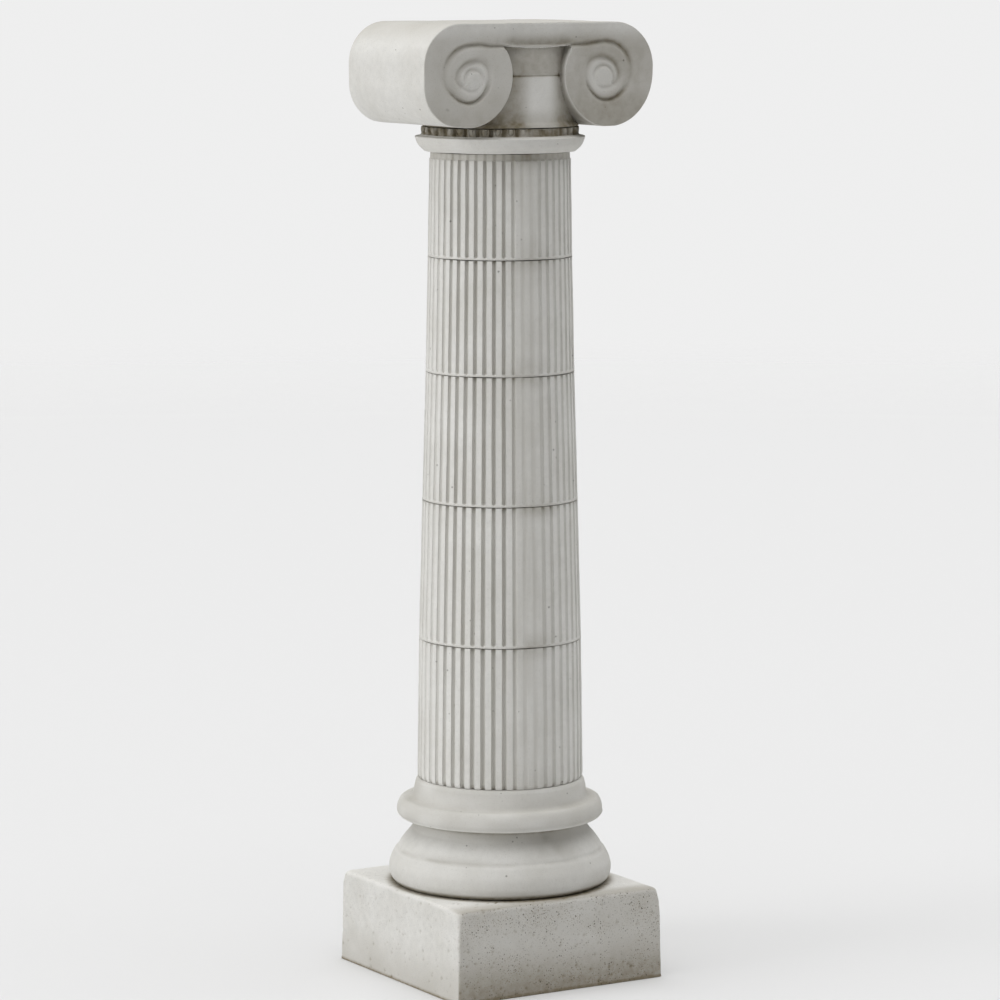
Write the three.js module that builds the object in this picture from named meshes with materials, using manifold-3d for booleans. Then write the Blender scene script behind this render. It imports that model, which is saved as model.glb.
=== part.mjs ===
// An ionic column of pale cast stone, 1.8 m high, built of nine blocks: a plinth, a base,
// five fluted drums, a collar and a capital. Millimetres, +Z up, with the origin under the
// middle of the plinth. The carved front looks along -Y and the back repeats it.

import * as THREE from "three";
import { mergeVertices } from "three/addons/utils/BufferGeometryUtils.js";
import Module from "manifold-3d";

const wasm = await Module();
wasm.setup();

// Driving dimensions

const HEIGHT = 1800;
const JOINT = 0.3;
const FULL_TURN = Math.PI * 2;

const PLINTH = { side: 450, topSide: 444, height: 175, corner: 9, edge: 7, cornerSteps: 3 };

// The turning points of the base's half section, as radius and height. A name that ends in
// "Pull" is a point that the curve beside it is drawn towards.
const BASE = {
  sides: 40,
  foot: [201, 175],
  footPull: [210.5, 177.5],
  lowerRoll: [211.5, 196],
  lowerRollPull: [212, 226],
  lowerCrown: [203, 236.5],
  hollowFoot: [196.5, 241],
  hollowPull: [176, 268],
  hollowHead: [165.5, 291],
  lipInside: [180, 297],
  lip: [189.5, 299.5],
  upperRoll: [196.8, 313],
  upperRollPull: [195, 329],
  upperCrown: [187, 333],
  neckFoot: [169, 338],
  neckPull: [164, 349],
  neckHead: [155.5, 374],
};

// Each entry is a level joint of the shaft: its height and the radius over the fillets.
const SHAFT_JOINTS = [
  { z: 374, radius: 157.5 },
  { z: 641, radius: 153.8 },
  { z: 905, radius: 147.1 },
  { z: 1147, radius: 140.3 },
  { z: 1363, radius: 135.8 },
  { z: 1559, radius: 132.7 },
];

const FLUTES = { count: 48, fillet: 0.34, depth: 4.6, turn: THREE.MathUtils.degToRad(1.9) };

// The front of the shaft is weathered almost smooth in one upright strip.
const WEAR = {
  middle: THREE.MathUtils.degToRad(-5),
  halfWidth: THREE.MathUtils.degToRad(24),
  share: 0.8,
};

const COLLAR = {
  top: 1606,
  underside: 141,
  edge: 160.2,
  edgeHeight: 1587,
  band: 148.5,
  bandFoot: 1590.5,
  sides: 76,
};
const DARTS = { count: 38, width: 5.5, depth: 4.5, foot: 1592.5 };

const CAPITAL = { width: 500, depth: 284, bottom: COLLAR.top };
const BELL = {
  lip: 147.5,
  lipHeight: 1609,
  flare: 137,
  flareHeight: 1619,
  waist: 135.5,
  groove: 1701,
  grooveWidth: 2,
  upper: 134,
  sides: 40,
};
const CHANNEL = {
  halfSpan: 74,
  lower: 1753,
  lipTop: 1758,
  flatTo: 1777,
  lipOut: 137.5,
  cut: 132,
  overlap: 3,
  bellOverlap: 3,
};

// The eye of each scroll, and the scroll's radius against turns counted in quarters from
// straight above the eye outwards, down, inwards and up again.
const EYE = { x: 140, z: 1700 };
const OUTLINE_QUARTERS = [
  [-3, 107.5],
  [-2.5, 101.5],
  [-2, 93.6],
  [-1.5, 84],
  [-1, 84],
  [-0.5, 87],
];
const GROOVE_QUARTERS = [
  [-0.5, 87],
  [0, 64.5],
  [1, 62],
  [2, 44.5],
  [3, 35.5],
  [4, 38.5],
  [5, 37],
  [6, 27],
  [7, 22],
  [8, 19],
];
const SHOULDER = 87.5;
const GROOVE = { halfWidth: 4.2, depth: 4.5, rise: 1, stepsPerQuarter: 4 };

// Small helpers

function stone(color) {
  return new THREE.MeshStandardMaterial({ color, roughness: 0.9, metalness: 0 });
}

function block(name, geometry, color) {
  const mesh = new THREE.Mesh(geometry, stone(color));
  mesh.name = name;
  return mesh;
}

function welded(geometry) {
  const bare = geometry.clone();
  bare.deleteAttribute("normal");
  bare.deleteAttribute("uv");
  return mergeVertices(bare, 1e-3);
}

function solidOf(geometry) {
  const bare = welded(geometry);
  return new wasm.Manifold(
    new wasm.Mesh({
      numProp: 3,
      vertProperties: new Float32Array(bare.attributes.position.array),
      triVerts: new Uint32Array(bare.index.array),
    })
  );
}

function geometryOf(solid) {
  const mesh = solid.getMesh();
  const geometry = new THREE.BufferGeometry();
  geometry.setAttribute("position", new THREE.BufferAttribute(mesh.vertProperties, 3));
  geometry.setIndex(new THREE.BufferAttribute(mesh.triVerts, 1));
  return geometry;
}

// The same shape on the other side of a plane through the origin, with its faces outwards.
function mirrored(geometry, axis) {
  const copy = welded(geometry);
  copy.scale(axis === "x" ? -1 : 1, axis === "y" ? -1 : 1, 1);
  const index = copy.index;
  for (let i = 0; i < index.count; i += 3) {
    const second = index.getX(i + 1);
    index.setX(i + 1, index.getX(i + 2));
    index.setX(i + 2, second);
  }
  return copy;
}

function middleOf(ring) {
  const sum = ring.reduce((total, point) => total.add(point), new THREE.Vector3());
  return sum.divideScalar(ring.length);
}

// A closed skin over rings with equal counts of points. A fan closes each end, round the
// middle of its ring or round a tip of its own.
function loft(rings, firstTip = middleOf(rings[0]), lastTip = middleOf(rings.at(-1))) {
  const count = rings[0].length;
  const points = [...rings.flat(), firstTip, lastTip];
  const index = [];
  for (let row = 0; row < rings.length - 1; row++) {
    for (let i = 0; i < count; i++) {
      const a = row * count + i;
      const b = row * count + ((i + 1) % count);
      index.push(a, b, b + count, a, b + count, a + count);
    }
  }
  const low = rings.length * count;
  const lastRow = (rings.length - 1) * count;
  for (let i = 0; i < count; i++) {
    const next = (i + 1) % count;
    index.push(low, next, i, low + 1, lastRow + i, lastRow + next);
  }
  const geometry = new THREE.BufferGeometry().setFromPoints(points);
  geometry.setIndex(index);
  return geometry;
}

// Points of a curve from one corner to another, pulled towards a third.
function bend(from, pull, to, steps) {
  const curve = new THREE.QuadraticBezierCurve(
    new THREE.Vector2(...from),
    new THREE.Vector2(...pull),
    new THREE.Vector2(...to)
  );
  return curve.getPoints(steps);
}

// A value that runs smoothly through pairs of place and value, as a cubic between each two.
function smoothThrough(pairs) {
  const last = pairs.length - 1;
  const slopes = pairs.map((pair, i) => {
    const before = pairs[Math.max(0, i - 1)];
    const after = pairs[Math.min(last, i + 1)];
    return (after[1] - before[1]) / (after[0] - before[0]);
  });
  return (place) => {
    const found = pairs.findIndex((pair) => pair[0] > place);
    const high = found < 0 ? last : Math.max(1, found);
    const low = high - 1;
    const span = pairs[high][0] - pairs[low][0];
    const t = (place - pairs[low][0]) / span;
    const rise = t * t * (3 - 2 * t);
    const flat = pairs[low][1] * (1 - rise) + pairs[high][1] * rise;
    const lowPull = slopes[low] * t * (1 - t) * (1 - t);
    const highPull = slopes[high] * t * t * (1 - t);
    return flat + span * (lowPull - highPull);
  };
}

// A turned block: its profile of radius and height, closed on the axis, spun about Z.
function turned(profile, sides) {
  const low = new THREE.Vector2(0, profile[0].y);
  const high = new THREE.Vector2(0, profile.at(-1).y);
  return new THREE.LatheGeometry([low, ...profile, high], sides).rotateX(Math.PI / 2);
}

// A direction in plan, by its angle from the front towards +X.
function aroundFront(angle, radius, z) {
  return new THREE.Vector3(Math.sin(angle) * radius, -Math.cos(angle) * radius, z);
}

// Plinth

function squareRing(side, z) {
  const ring = [];
  const straight = side / 2 - PLINTH.corner;
  for (let corner = 0; corner < 4; corner++) {
    const start = (corner * Math.PI) / 2;
    const middle = start + Math.PI / 4;
    const cx = straight * Math.SQRT2 * Math.cos(middle);
    const cy = straight * Math.SQRT2 * Math.sin(middle);
    for (let i = 0; i <= PLINTH.cornerSteps; i++) {
      const angle = start + (i / PLINTH.cornerSteps) * (Math.PI / 2);
      const x = cx + PLINTH.corner * Math.cos(angle);
      const y = cy + PLINTH.corner * Math.sin(angle);
      ring.push(new THREE.Vector3(x, y, z));
    }
  }
  return ring;
}

function plinth() {
  const { side, topSide, height, edge } = PLINTH;
  const top = height - JOINT;
  return loft([
    squareRing(side - edge / 2, 0),
    squareRing(side, edge / 2),
    squareRing(topSide, top - edge),
    squareRing(topSide - 0.6 * edge, top - 0.3 * edge),
    squareRing(topSide - 2 * edge, top),
  ]);
}

// Base

function base() {
  const [neckRadius, top] = BASE.neckHead;
  const profile = [
    ...bend(BASE.foot, BASE.footPull, BASE.lowerRoll, 3),
    ...bend(BASE.lowerRoll, BASE.lowerRollPull, BASE.lowerCrown, 3).slice(1),
    ...bend(BASE.hollowFoot, BASE.hollowPull, BASE.hollowHead, 3),
    new THREE.Vector2(...BASE.lipInside),
    new THREE.Vector2(...BASE.lip),
    ...bend(BASE.upperRoll, BASE.upperRollPull, BASE.upperCrown, 3),
    ...bend(BASE.neckFoot, BASE.neckPull, [neckRadius, top - JOINT], 3),
  ];
  return turned(profile, BASE.sides);
}

// Shaft

function wearAt(angle) {
  const away = Math.abs(angle - WEAR.middle) / WEAR.halfWidth;
  return away < 1 ? WEAR.share * (0.5 + 0.5 * Math.cos(away * Math.PI)) : 0;
}

// One ring of the fluted shaft: each flute has two edges and two points near its floor.
function flutedRing(radius, z) {
  const pitch = FULL_TURN / FLUTES.count;
  const width = pitch * (1 - FLUTES.fillet);
  const ring = [];
  for (let i = 0; i < FLUTES.count; i++) {
    const middle = (i - FLUTES.count / 2) * pitch + FLUTES.turn;
    const floor = radius - FLUTES.depth * (1 - wearAt(middle));
    ring.push(aroundFront(middle - width / 2, radius, z));
    ring.push(aroundFront(middle - width / 5, floor, z));
    ring.push(aroundFront(middle + width / 5, floor, z));
    ring.push(aroundFront(middle + width / 2, radius, z));
  }
  return ring;
}

function drum(number) {
  const low = SHAFT_JOINTS[number - 1];
  const high = SHAFT_JOINTS[number];
  return loft([flutedRing(low.radius, low.z), flutedRing(high.radius, high.z - JOINT)]);
}

// Collar

function dartCutter(i) {
  const { count, width, depth, foot } = DARTS;
  const height = 2 * (COLLAR.top - foot);
  const cutter = new THREE.BoxGeometry(width, 2 * depth, height);
  cutter.translate(0, -COLLAR.band, foot + height / 2);
  return cutter.rotateZ(((i + 0.5) * FULL_TURN) / count);
}

function collar() {
  const bottom = SHAFT_JOINTS.at(-1).z;
  const { underside, edge, edgeHeight, band, bandFoot, top } = COLLAR;
  const profile = [
    ...bend([underside, bottom], [edge - 6, bottom + 8], [edge, edgeHeight - 1.5], 3),
    new THREE.Vector2(edge - 1, edgeHeight + 0.5),
    new THREE.Vector2(band, bandFoot),
    new THREE.Vector2(band, top - JOINT),
  ];
  let ring = solidOf(turned(profile, COLLAR.sides));
  for (let i = 0; i < DARTS.count; i++) {
    ring = ring.subtract(solidOf(dartCutter(i)));
  }
  return geometryOf(ring);
}

// Capital

// The point on the front of the +X scroll at a turn in quarters and a radius from the eye.
function scrollPoint(turn, radius) {
  const angle = (turn * Math.PI) / 2;
  return new THREE.Vector2(EYE.x + radius * Math.sin(angle), EYE.z + radius * Math.cos(angle));
}

function scrollBlock() {
  const { width, depth } = CAPITAL;
  const outline = new THREE.Shape();
  const seam = CHANNEL.halfSpan - CHANNEL.overlap;
  outline.moveTo(seam, CHANNEL.lipTop - 1);
  outline.lineTo(seam, HEIGHT);
  outline.lineTo(width / 2 - SHOULDER, HEIGHT);
  outline.absarc(width / 2 - SHOULDER, HEIGHT - SHOULDER, SHOULDER, Math.PI / 2, 0, true);
  const radiusAt = smoothThrough(OUTLINE_QUARTERS);
  const steps = 20;
  for (let i = 0; i <= steps; i++) {
    const turn = -3 + (2.5 * i) / steps;
    const point = scrollPoint(turn, radiusAt(turn));
    outline.lineTo(Math.min(point.x, width / 2), Math.max(point.y, CAPITAL.bottom));
  }
  const body = new THREE.ExtrudeGeometry(outline, { depth, bevelEnabled: false, curveSegments: 8 });
  return body.rotateX(Math.PI / 2).translate(0, depth / 2, 0);
}

// The band between the scrolls: flat above, hollowed below, with a thin lip at its foot.
function channelBlock() {
  const half = CAPITAL.depth / 2;
  const { halfSpan, lower, lipTop, flatTo, lipOut, cut } = CHANNEL;
  const front = bend([half, flatTo], [half, lipTop], [cut, lipTop], 3);
  const section = new THREE.Shape();
  section.moveTo(half, HEIGHT);
  section.lineTo(-half, HEIGHT);
  front.forEach((point) => section.lineTo(-point.x, point.y));
  section.lineTo(-lipOut, lipTop - 1);
  section.lineTo(-lipOut, lower);
  section.lineTo(lipOut, lower);
  section.lineTo(lipOut, lipTop - 1);
  front.reverse().forEach((point) => section.lineTo(point.x, point.y));
  const body = new THREE.ExtrudeGeometry(section, { depth: 2 * halfSpan, bevelEnabled: false });
  const lieAlongX = new THREE.Matrix4().makeBasis(
    new THREE.Vector3(0, 1, 0),
    new THREE.Vector3(0, 0, 1),
    new THREE.Vector3(1, 0, 0)
  );
  return body.applyMatrix4(lieAlongX).translate(-halfSpan, 0, 0);
}

function bell() {
  const { lip, lipHeight, flare, flareHeight, waist, groove, grooveWidth, upper, sides } = BELL;
  const profile = [
    new THREE.Vector2(lip, CAPITAL.bottom),
    ...bend([lip, lipHeight], [flare, lipHeight + 1], [flare, flareHeight], 3),
    new THREE.Vector2(waist, (flareHeight + groove) / 2),
    new THREE.Vector2(waist, groove),
    new THREE.Vector2(upper, groove + grooveWidth),
    new THREE.Vector2(upper, CHANNEL.lower + CHANNEL.bellOverlap),
  ];
  return turned(profile, sides);
}

// A V-shaped furrow along the spiral on the front of the +X scroll, tapered at both ends.
function scrollGroove() {
  const { halfWidth, depth, rise, stepsPerQuarter } = GROOVE;
  const front = -CAPITAL.depth / 2;
  const radiusAt = smoothThrough(GROOVE_QUARTERS);
  const [first, last] = [GROOVE_QUARTERS[0][0], GROOVE_QUARTERS.at(-1)[0]];
  const steps = Math.round((last - first) * stepsPerQuarter);
  const place = (turn, offset, y) => {
    const point = scrollPoint(turn, radiusAt(turn) + offset);
    return new THREE.Vector3(point.x, y, point.y);
  };
  const rings = [];
  for (let i = 1; i < steps; i++) {
    const turn = first + ((last - first) * i) / steps;
    const taper = Math.min(1, (0.5 + i) / 4, (0.5 + steps - i) / 4);
    const reach = halfWidth * taper * (1 + rise / depth);
    rings.push([
      place(turn, -reach, front - rise),
      place(turn, 0, front + depth * taper),
      place(turn, reach, front - rise),
    ]);
  }
  return loft(rings, place(first, 0, front - rise), place(last, 0, front - rise));
}

function capital() {
  const scroll = scrollBlock();
  const groove = scrollGroove();
  const rightGrooves = [groove, mirrored(groove, "y")];
  const grooves = [...rightGrooves, ...rightGrooves.map((shape) => mirrored(shape, "x"))];
  let solid = solidOf(channelBlock())
    .add(solidOf(scroll))
    .add(solidOf(mirrored(scroll, "x")))
    .add(solidOf(bell()));
  for (const shape of grooves) {
    solid = solid.subtract(solidOf(shape));
  }
  return geometryOf(solid);
}

// The column

const column = new THREE.Group();
column.add(block("plinth", plinth(), 0xb9b6ab));
column.add(block("base", base(), 0xc9c7be));
for (let number = 1; number < SHAFT_JOINTS.length; number++) {
  column.add(block(`drum_${number}`, drum(number), 0xc6c2b8));
}
column.add(block("collar", collar(), 0xc4c1b6));
column.add(block("capital", capital(), 0xc2c0b8));

export default column;
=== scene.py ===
"""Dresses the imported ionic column: nine weathered blocks of pale cast stone.

Metres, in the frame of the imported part: +Z up, the origin under the middle of the plinth and
the carved front looking along -Y. Each block is one closed skin, worked out with numpy as a
function of two parameters, that replaces the plain block of the same name. Angles round the
shaft count from the front towards +X.
"""

from __future__ import annotations

import logging
from dataclasses import dataclass, field
from enum import Enum

import bpy
import numpy as np
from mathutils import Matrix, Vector


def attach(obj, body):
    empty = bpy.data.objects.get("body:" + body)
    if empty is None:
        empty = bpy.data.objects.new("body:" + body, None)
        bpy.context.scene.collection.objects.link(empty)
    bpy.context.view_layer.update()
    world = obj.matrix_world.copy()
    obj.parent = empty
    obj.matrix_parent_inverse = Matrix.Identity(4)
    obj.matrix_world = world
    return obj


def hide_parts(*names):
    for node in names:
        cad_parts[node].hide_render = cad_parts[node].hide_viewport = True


log = logging.getLogger("ionic_column")
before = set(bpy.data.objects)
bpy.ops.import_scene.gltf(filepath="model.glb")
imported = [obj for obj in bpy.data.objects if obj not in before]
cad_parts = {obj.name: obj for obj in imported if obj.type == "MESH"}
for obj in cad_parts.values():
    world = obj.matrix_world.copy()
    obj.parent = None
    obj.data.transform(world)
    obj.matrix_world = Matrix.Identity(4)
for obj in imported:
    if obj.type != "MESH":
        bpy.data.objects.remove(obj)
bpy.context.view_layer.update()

ROOT_BODY = "root"
FULL_TURN = 2.0 * np.pi
JOINT = 0.0003
WELD = 1e-6
UNPAINTED = 0.02


class Slot(Enum):
    """The record's material slots."""

    PLINTH = "plinth_stone"
    BASE = "base_stone"
    SHAFT = "shaft_stone"
    COLLAR = "collar_stone"
    CAPITAL = "capital_stone"


# Curves and fields


def bend(start: tuple, pull: tuple, end: tuple, steps: int) -> np.ndarray:
    """Points of a quadratic Bezier: (1-t)^2 start + 2t(1-t) pull + t^2 end.

    Args:
        start: First corner, as radius and height.
        pull: The corner that the curve is drawn towards.
        end: Last corner.
        steps: Number of steps; the last point is left to the next stretch.

    Returns:
        Array of steps rows, radius and height.
    """
    t = np.arange(steps)[:, None] / steps
    return (1 - t) ** 2 * np.array(start) + 2 * t * (1 - t) * np.array(pull) + t**2 * np.array(end)


def chain(start: tuple[float, float], stretches: list[tuple]) -> np.ndarray:
    """A profile of Bezier stretches, each of which starts where the last one ends.

    Args:
        start: First point, as radius and height.
        stretches: The pull, the end and the number of steps of each stretch.

    Returns:
        Rows of radius and height, with the last end too.
    """
    points = []
    for pull, end, steps in stretches:
        points.append(bend(start, pull, end, steps))
        start = end
    return np.concatenate([*points, [start]])


def smoothstep(low: float, high: float, value: np.ndarray) -> np.ndarray:
    """A rise from 0 at low to 1 at high, as 3t^2 - 2t^3; low may lie above high."""
    t = np.clip((value - low) / (high - low), 0, 1)
    return t * t * (3 - 2 * t)


@dataclass(frozen=True)
class SmoothCurve:
    """A value that runs smoothly through chosen pairs, as a cubic between each two.

    Attributes:
        pairs: Place and value, in rising order of place.
    """

    pairs: tuple[tuple[float, float], ...]

    def at(self, place: np.ndarray) -> np.ndarray:
        """Hermite cubic whose slope at a pair is that between its two neighbours.

        Args:
            place: Where the value is wanted; beyond the ends it keeps the end's value.

        Returns:
            Array of the same shape.
        """
        knots, values = np.array(self.pairs).T
        last = len(knots) - 1
        before = np.maximum(np.arange(last + 1) - 1, 0)
        after = np.minimum(np.arange(last + 1) + 1, last)
        slopes = (values[after] - values[before]) / (knots[after] - knots[before])
        low = np.clip(np.searchsorted(knots, place, side="right") - 1, 0, last - 1)
        span = knots[low + 1] - knots[low]
        t = np.clip((place - knots[low]) / span, 0, 1)
        rise = t * t * (3 - 2 * t)
        pull = slopes[low] * t * (1 - t) ** 2 - slopes[low + 1] * t**2 * (1 - t)
        return values[low] * (1 - rise) + values[low + 1] * rise + span * pull


def lumps(points: np.ndarray, size: float, seed: int) -> np.ndarray:
    """A smooth seeded field between -1 and 1, like the waviness of worn stone.

    Random values stand on a cubic lattice of the given size, and each point blends the eight
    round it by smoothstep.

    Args:
        points: Places, one row each.
        size: Width of a lump.
        seed: Number of the field.

    Returns:
        One value for each point.
    """
    table_bits = 12
    values = np.random.default_rng(seed).uniform(-1, 1, 1 << table_bits)
    scaled = points / size
    cell = np.floor(scaled).astype(np.int64)
    t = scaled - cell
    t = t * t * (3 - 2 * t)
    total = np.zeros(len(points))
    for corner in np.ndindex(2, 2, 2):
        x, y, z = (cell + corner).T
        key = (x * 73856093) ^ (y * 19349663) ^ (z * 83492791)
        weight = np.prod(np.where(corner, t, 1 - t), axis=1)
        total += weight * values[key & ((1 << table_bits) - 1)]
    return total


def pit_depth(points: np.ndarray, pits: np.ndarray) -> np.ndarray:
    """Depth of round pits: depth times 1 - (distance / radius)^2 within each, 0 outside.

    Args:
        points: Places, one row each.
        pits: Rows of x, y, z, radius and depth.

    Returns:
        One depth for each point, the deepest where pits meet.
    """
    sunk = np.zeros(len(points))
    for x, y, z, radius, depth in pits:
        away = ((points - (x, y, z)) ** 2).sum(axis=1) / radius**2
        sunk = np.maximum(sunk, depth * np.clip(1 - away, 0, None))
    return sunk


def around(angle: np.ndarray, radius: np.ndarray, z: np.ndarray) -> np.ndarray:
    """Points at an angle from the front towards +X, a radius and a height."""
    return np.stack(np.broadcast_arrays(np.sin(angle) * radius, -np.cos(angle) * radius, z), axis=-1)


# Skins


@dataclass
class Skin:
    """A closed surface, before it becomes a mesh.

    Attributes:
        points: Vertex places, one row each.
        quads: Corner numbers of the four-sided faces, seen from outside anticlockwise.
        tris: Corner numbers of the three-sided faces.
    """

    points: np.ndarray
    quads: np.ndarray
    tris: np.ndarray

    def normals(self) -> np.ndarray:
        """Outward unit direction at each vertex: the sum of its faces' area vectors, scaled to 1.

        Returns:
            One direction for each vertex.
        """
        p = self.points
        q, t = self.quads, self.tris
        quad_area = np.cross(p[q[:, 2]] - p[q[:, 0]], p[q[:, 3]] - p[q[:, 1]])
        tri_area = np.cross(p[t[:, 1]] - p[t[:, 0]], p[t[:, 2]] - p[t[:, 0]])
        corners = np.concatenate([q.ravel(), t.ravel()])
        areas = np.concatenate([np.repeat(quad_area, 4, axis=0), np.repeat(tri_area, 3, axis=0)])
        total = np.stack([np.bincount(corners, areas[:, k], len(p)) for k in range(3)], axis=-1)
        return total / np.maximum(np.linalg.norm(total, axis=1, keepdims=True), 1e-20)

    def sink(self, depth: np.ndarray) -> None:
        """Move each vertex inwards, against its normal, by its own depth."""
        self.points = self.points - self.normals() * depth[:, None]

    def mesh(self, name: str) -> bpy.types.Mesh:
        """Put the skin into a mesh with foreach_set.

        Args:
            name: Name of the mesh.

        Returns:
            The mesh.
        """
        corners = np.concatenate([self.quads.ravel(), self.tris.ravel()]).astype(np.int32)
        sizes = np.concatenate([np.full(len(self.quads), 4), np.full(len(self.tris), 3)])
        starts = np.concatenate([[0], np.cumsum(sizes)[:-1]]).astype(np.int32)
        made = bpy.data.meshes.new(name)
        made.vertices.add(len(self.points))
        made.vertices.foreach_set("co", self.points.astype(np.float32).ravel())
        made.loops.add(len(corners))
        made.loops.foreach_set("vertex_index", corners)
        made.polygons.add(len(starts))
        made.polygons.foreach_set("loop_start", starts)
        made.update(calc_edges=True)
        return made


def ring_faces(grid: np.ndarray) -> np.ndarray:
    """Quads between neighbouring rows of a numbered grid whose columns wrap round."""
    beside = np.roll(grid, -1, axis=1)
    return np.stack([grid[:-1], beside[:-1], beside[1:], grid[1:]], axis=-1).reshape(-1, 4)


def barrel(grid: np.ndarray) -> Skin:
    """Close a stack of rings: quads between the rings, and a fan over each end's middle.

    Args:
        grid: Rings of points, rows by columns by 3, rising, anticlockwise from above.

    Returns:
        The closed skin.
    """
    rows, columns = grid.shape[:2]
    number = np.arange(rows * columns).reshape(rows, columns)
    beside = np.roll(number, -1, axis=1)
    low = np.full(columns, rows * columns)
    low_fan = np.stack([beside[0], number[0], low], axis=-1)
    high_fan = np.stack([number[-1], beside[-1], low + 1], axis=-1)
    points = np.concatenate([grid.reshape(-1, 3), grid[[0, -1]].mean(axis=1)])
    return Skin(points, ring_faces(number), np.concatenate([low_fan, high_fan]))


def welded(parts: list[Skin]) -> Skin:
    """Join skins along the edges where their points are the same, to within a micrometre.

    Args:
        parts: The skins.

    Returns:
        One skin, with each shared point once.
    """
    starts = np.cumsum([0] + [len(part.points) for part in parts])
    points = np.concatenate([part.points for part in parts])
    quads = np.concatenate([part.quads + start for part, start in zip(parts, starts)])
    tris = np.concatenate([part.tris + start for part, start in zip(parts, starts)])
    keys = np.round(points / WELD).astype(np.int64)
    _, kept, place = np.unique(keys, axis=0, return_index=True, return_inverse=True)
    place = place.ravel()
    return Skin(points[kept], place[quads], place[tris])


def patch(grid: np.ndarray, flipped: bool) -> Skin:
    """Quads over an open grid of points.

    Args:
        grid: Points, rows by columns by 3.
        flipped: Whether the quads face the other way.

    Returns:
        The open skin.
    """
    rows, columns = grid.shape[:2]
    number = np.arange(rows * columns).reshape(rows, columns)
    quads = np.stack([number[:-1, :-1], number[:-1, 1:], number[1:, 1:], number[1:, :-1]], axis=-1)
    quads = quads.reshape(-1, 4)
    quads = quads[:, ::-1] if flipped else quads
    return Skin(grid.reshape(-1, 3), quads, np.zeros((0, 3), dtype=int))


# Finish


Number = float | bpy.types.NodeSocket
Colour = tuple[float, float, float] | bpy.types.NodeSocket


@dataclass(frozen=True)
class NodeGraph:
    """Adds shader nodes to one node tree.

    Attributes:
        tree: The tree.
    """

    tree: bpy.types.NodeTree

    def place(self) -> bpy.types.NodeSocket:
        """Object coordinates."""
        return self.tree.nodes.new("ShaderNodeTexCoord").outputs["Object"]

    def painted(self, name: str) -> bpy.types.NodeSocket:
        """The value of that name that the mesh carries at each vertex.

        Args:
            name: Name of the mesh's attribute.

        Returns:
            Its value.
        """
        node = self.tree.nodes.new("ShaderNodeAttribute")
        node.attribute_name = name
        return node.outputs["Fac"]

    def noise(self, place: bpy.types.NodeSocket, size: float, detail: float) -> bpy.types.NodeSocket:
        """A noise value.

        Args:
            place: Where it is read.
            size: About how wide its features are.
            detail: Number of finer layers.

        Returns:
            The value, about a half on average.
        """
        node = self.tree.nodes.new("ShaderNodeTexNoise")
        node.inputs["Scale"].default_value = 1.0 / size
        node.inputs["Detail"].default_value = detail
        self.tree.links.new(place, node.inputs["Vector"])
        return node.outputs["Fac"]

    def math(self, kind: str, *values: Number, clamp: bool = False) -> bpy.types.NodeSocket:
        """One Math node.

        Args:
            kind: Blender's name of the operation.
            values: Its inputs.
            clamp: Whether the result is kept between 0 and 1.

        Returns:
            Its result.
        """
        node = self.tree.nodes.new("ShaderNodeMath")
        node.operation = kind
        node.use_clamp = clamp
        for socket, value in zip(node.inputs, values):
            if isinstance(value, (int, float)):
                socket.default_value = value
            else:
                self.tree.links.new(value, socket)
        return node.outputs[0]

    def mix(self, share: bpy.types.NodeSocket, low: Colour, high: Colour) -> bpy.types.NodeSocket:
        """One colour Mix node.

        Args:
            share: Share of the second colour.
            low: The colour at a share of 0.
            high: The colour at a share of 1.

        Returns:
            The mixed colour.
        """
        node = self.tree.nodes.new("ShaderNodeMix")
        node.data_type = "RGBA"
        factor, first, second = node.inputs[0], node.inputs[6], node.inputs[7]
        self.tree.links.new(share, factor)
        for socket, value in ((first, low), (second, high)):
            if isinstance(value, tuple):
                socket.default_value = (*value, 1.0)
            else:
                self.tree.links.new(value, socket)
        return node.outputs[2]

    def scaled(self, colour: bpy.types.NodeSocket, share: bpy.types.NodeSocket) -> bpy.types.NodeSocket:
        """A colour times a value.

        Args:
            colour: The colour.
            share: The value.

        Returns:
            The product.
        """
        node = self.tree.nodes.new("ShaderNodeVectorMath")
        node.operation = "SCALE"
        self.tree.links.new(colour, node.inputs[0])
        self.tree.links.new(share, node.inputs["Scale"])
        return node.outputs[0]


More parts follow.
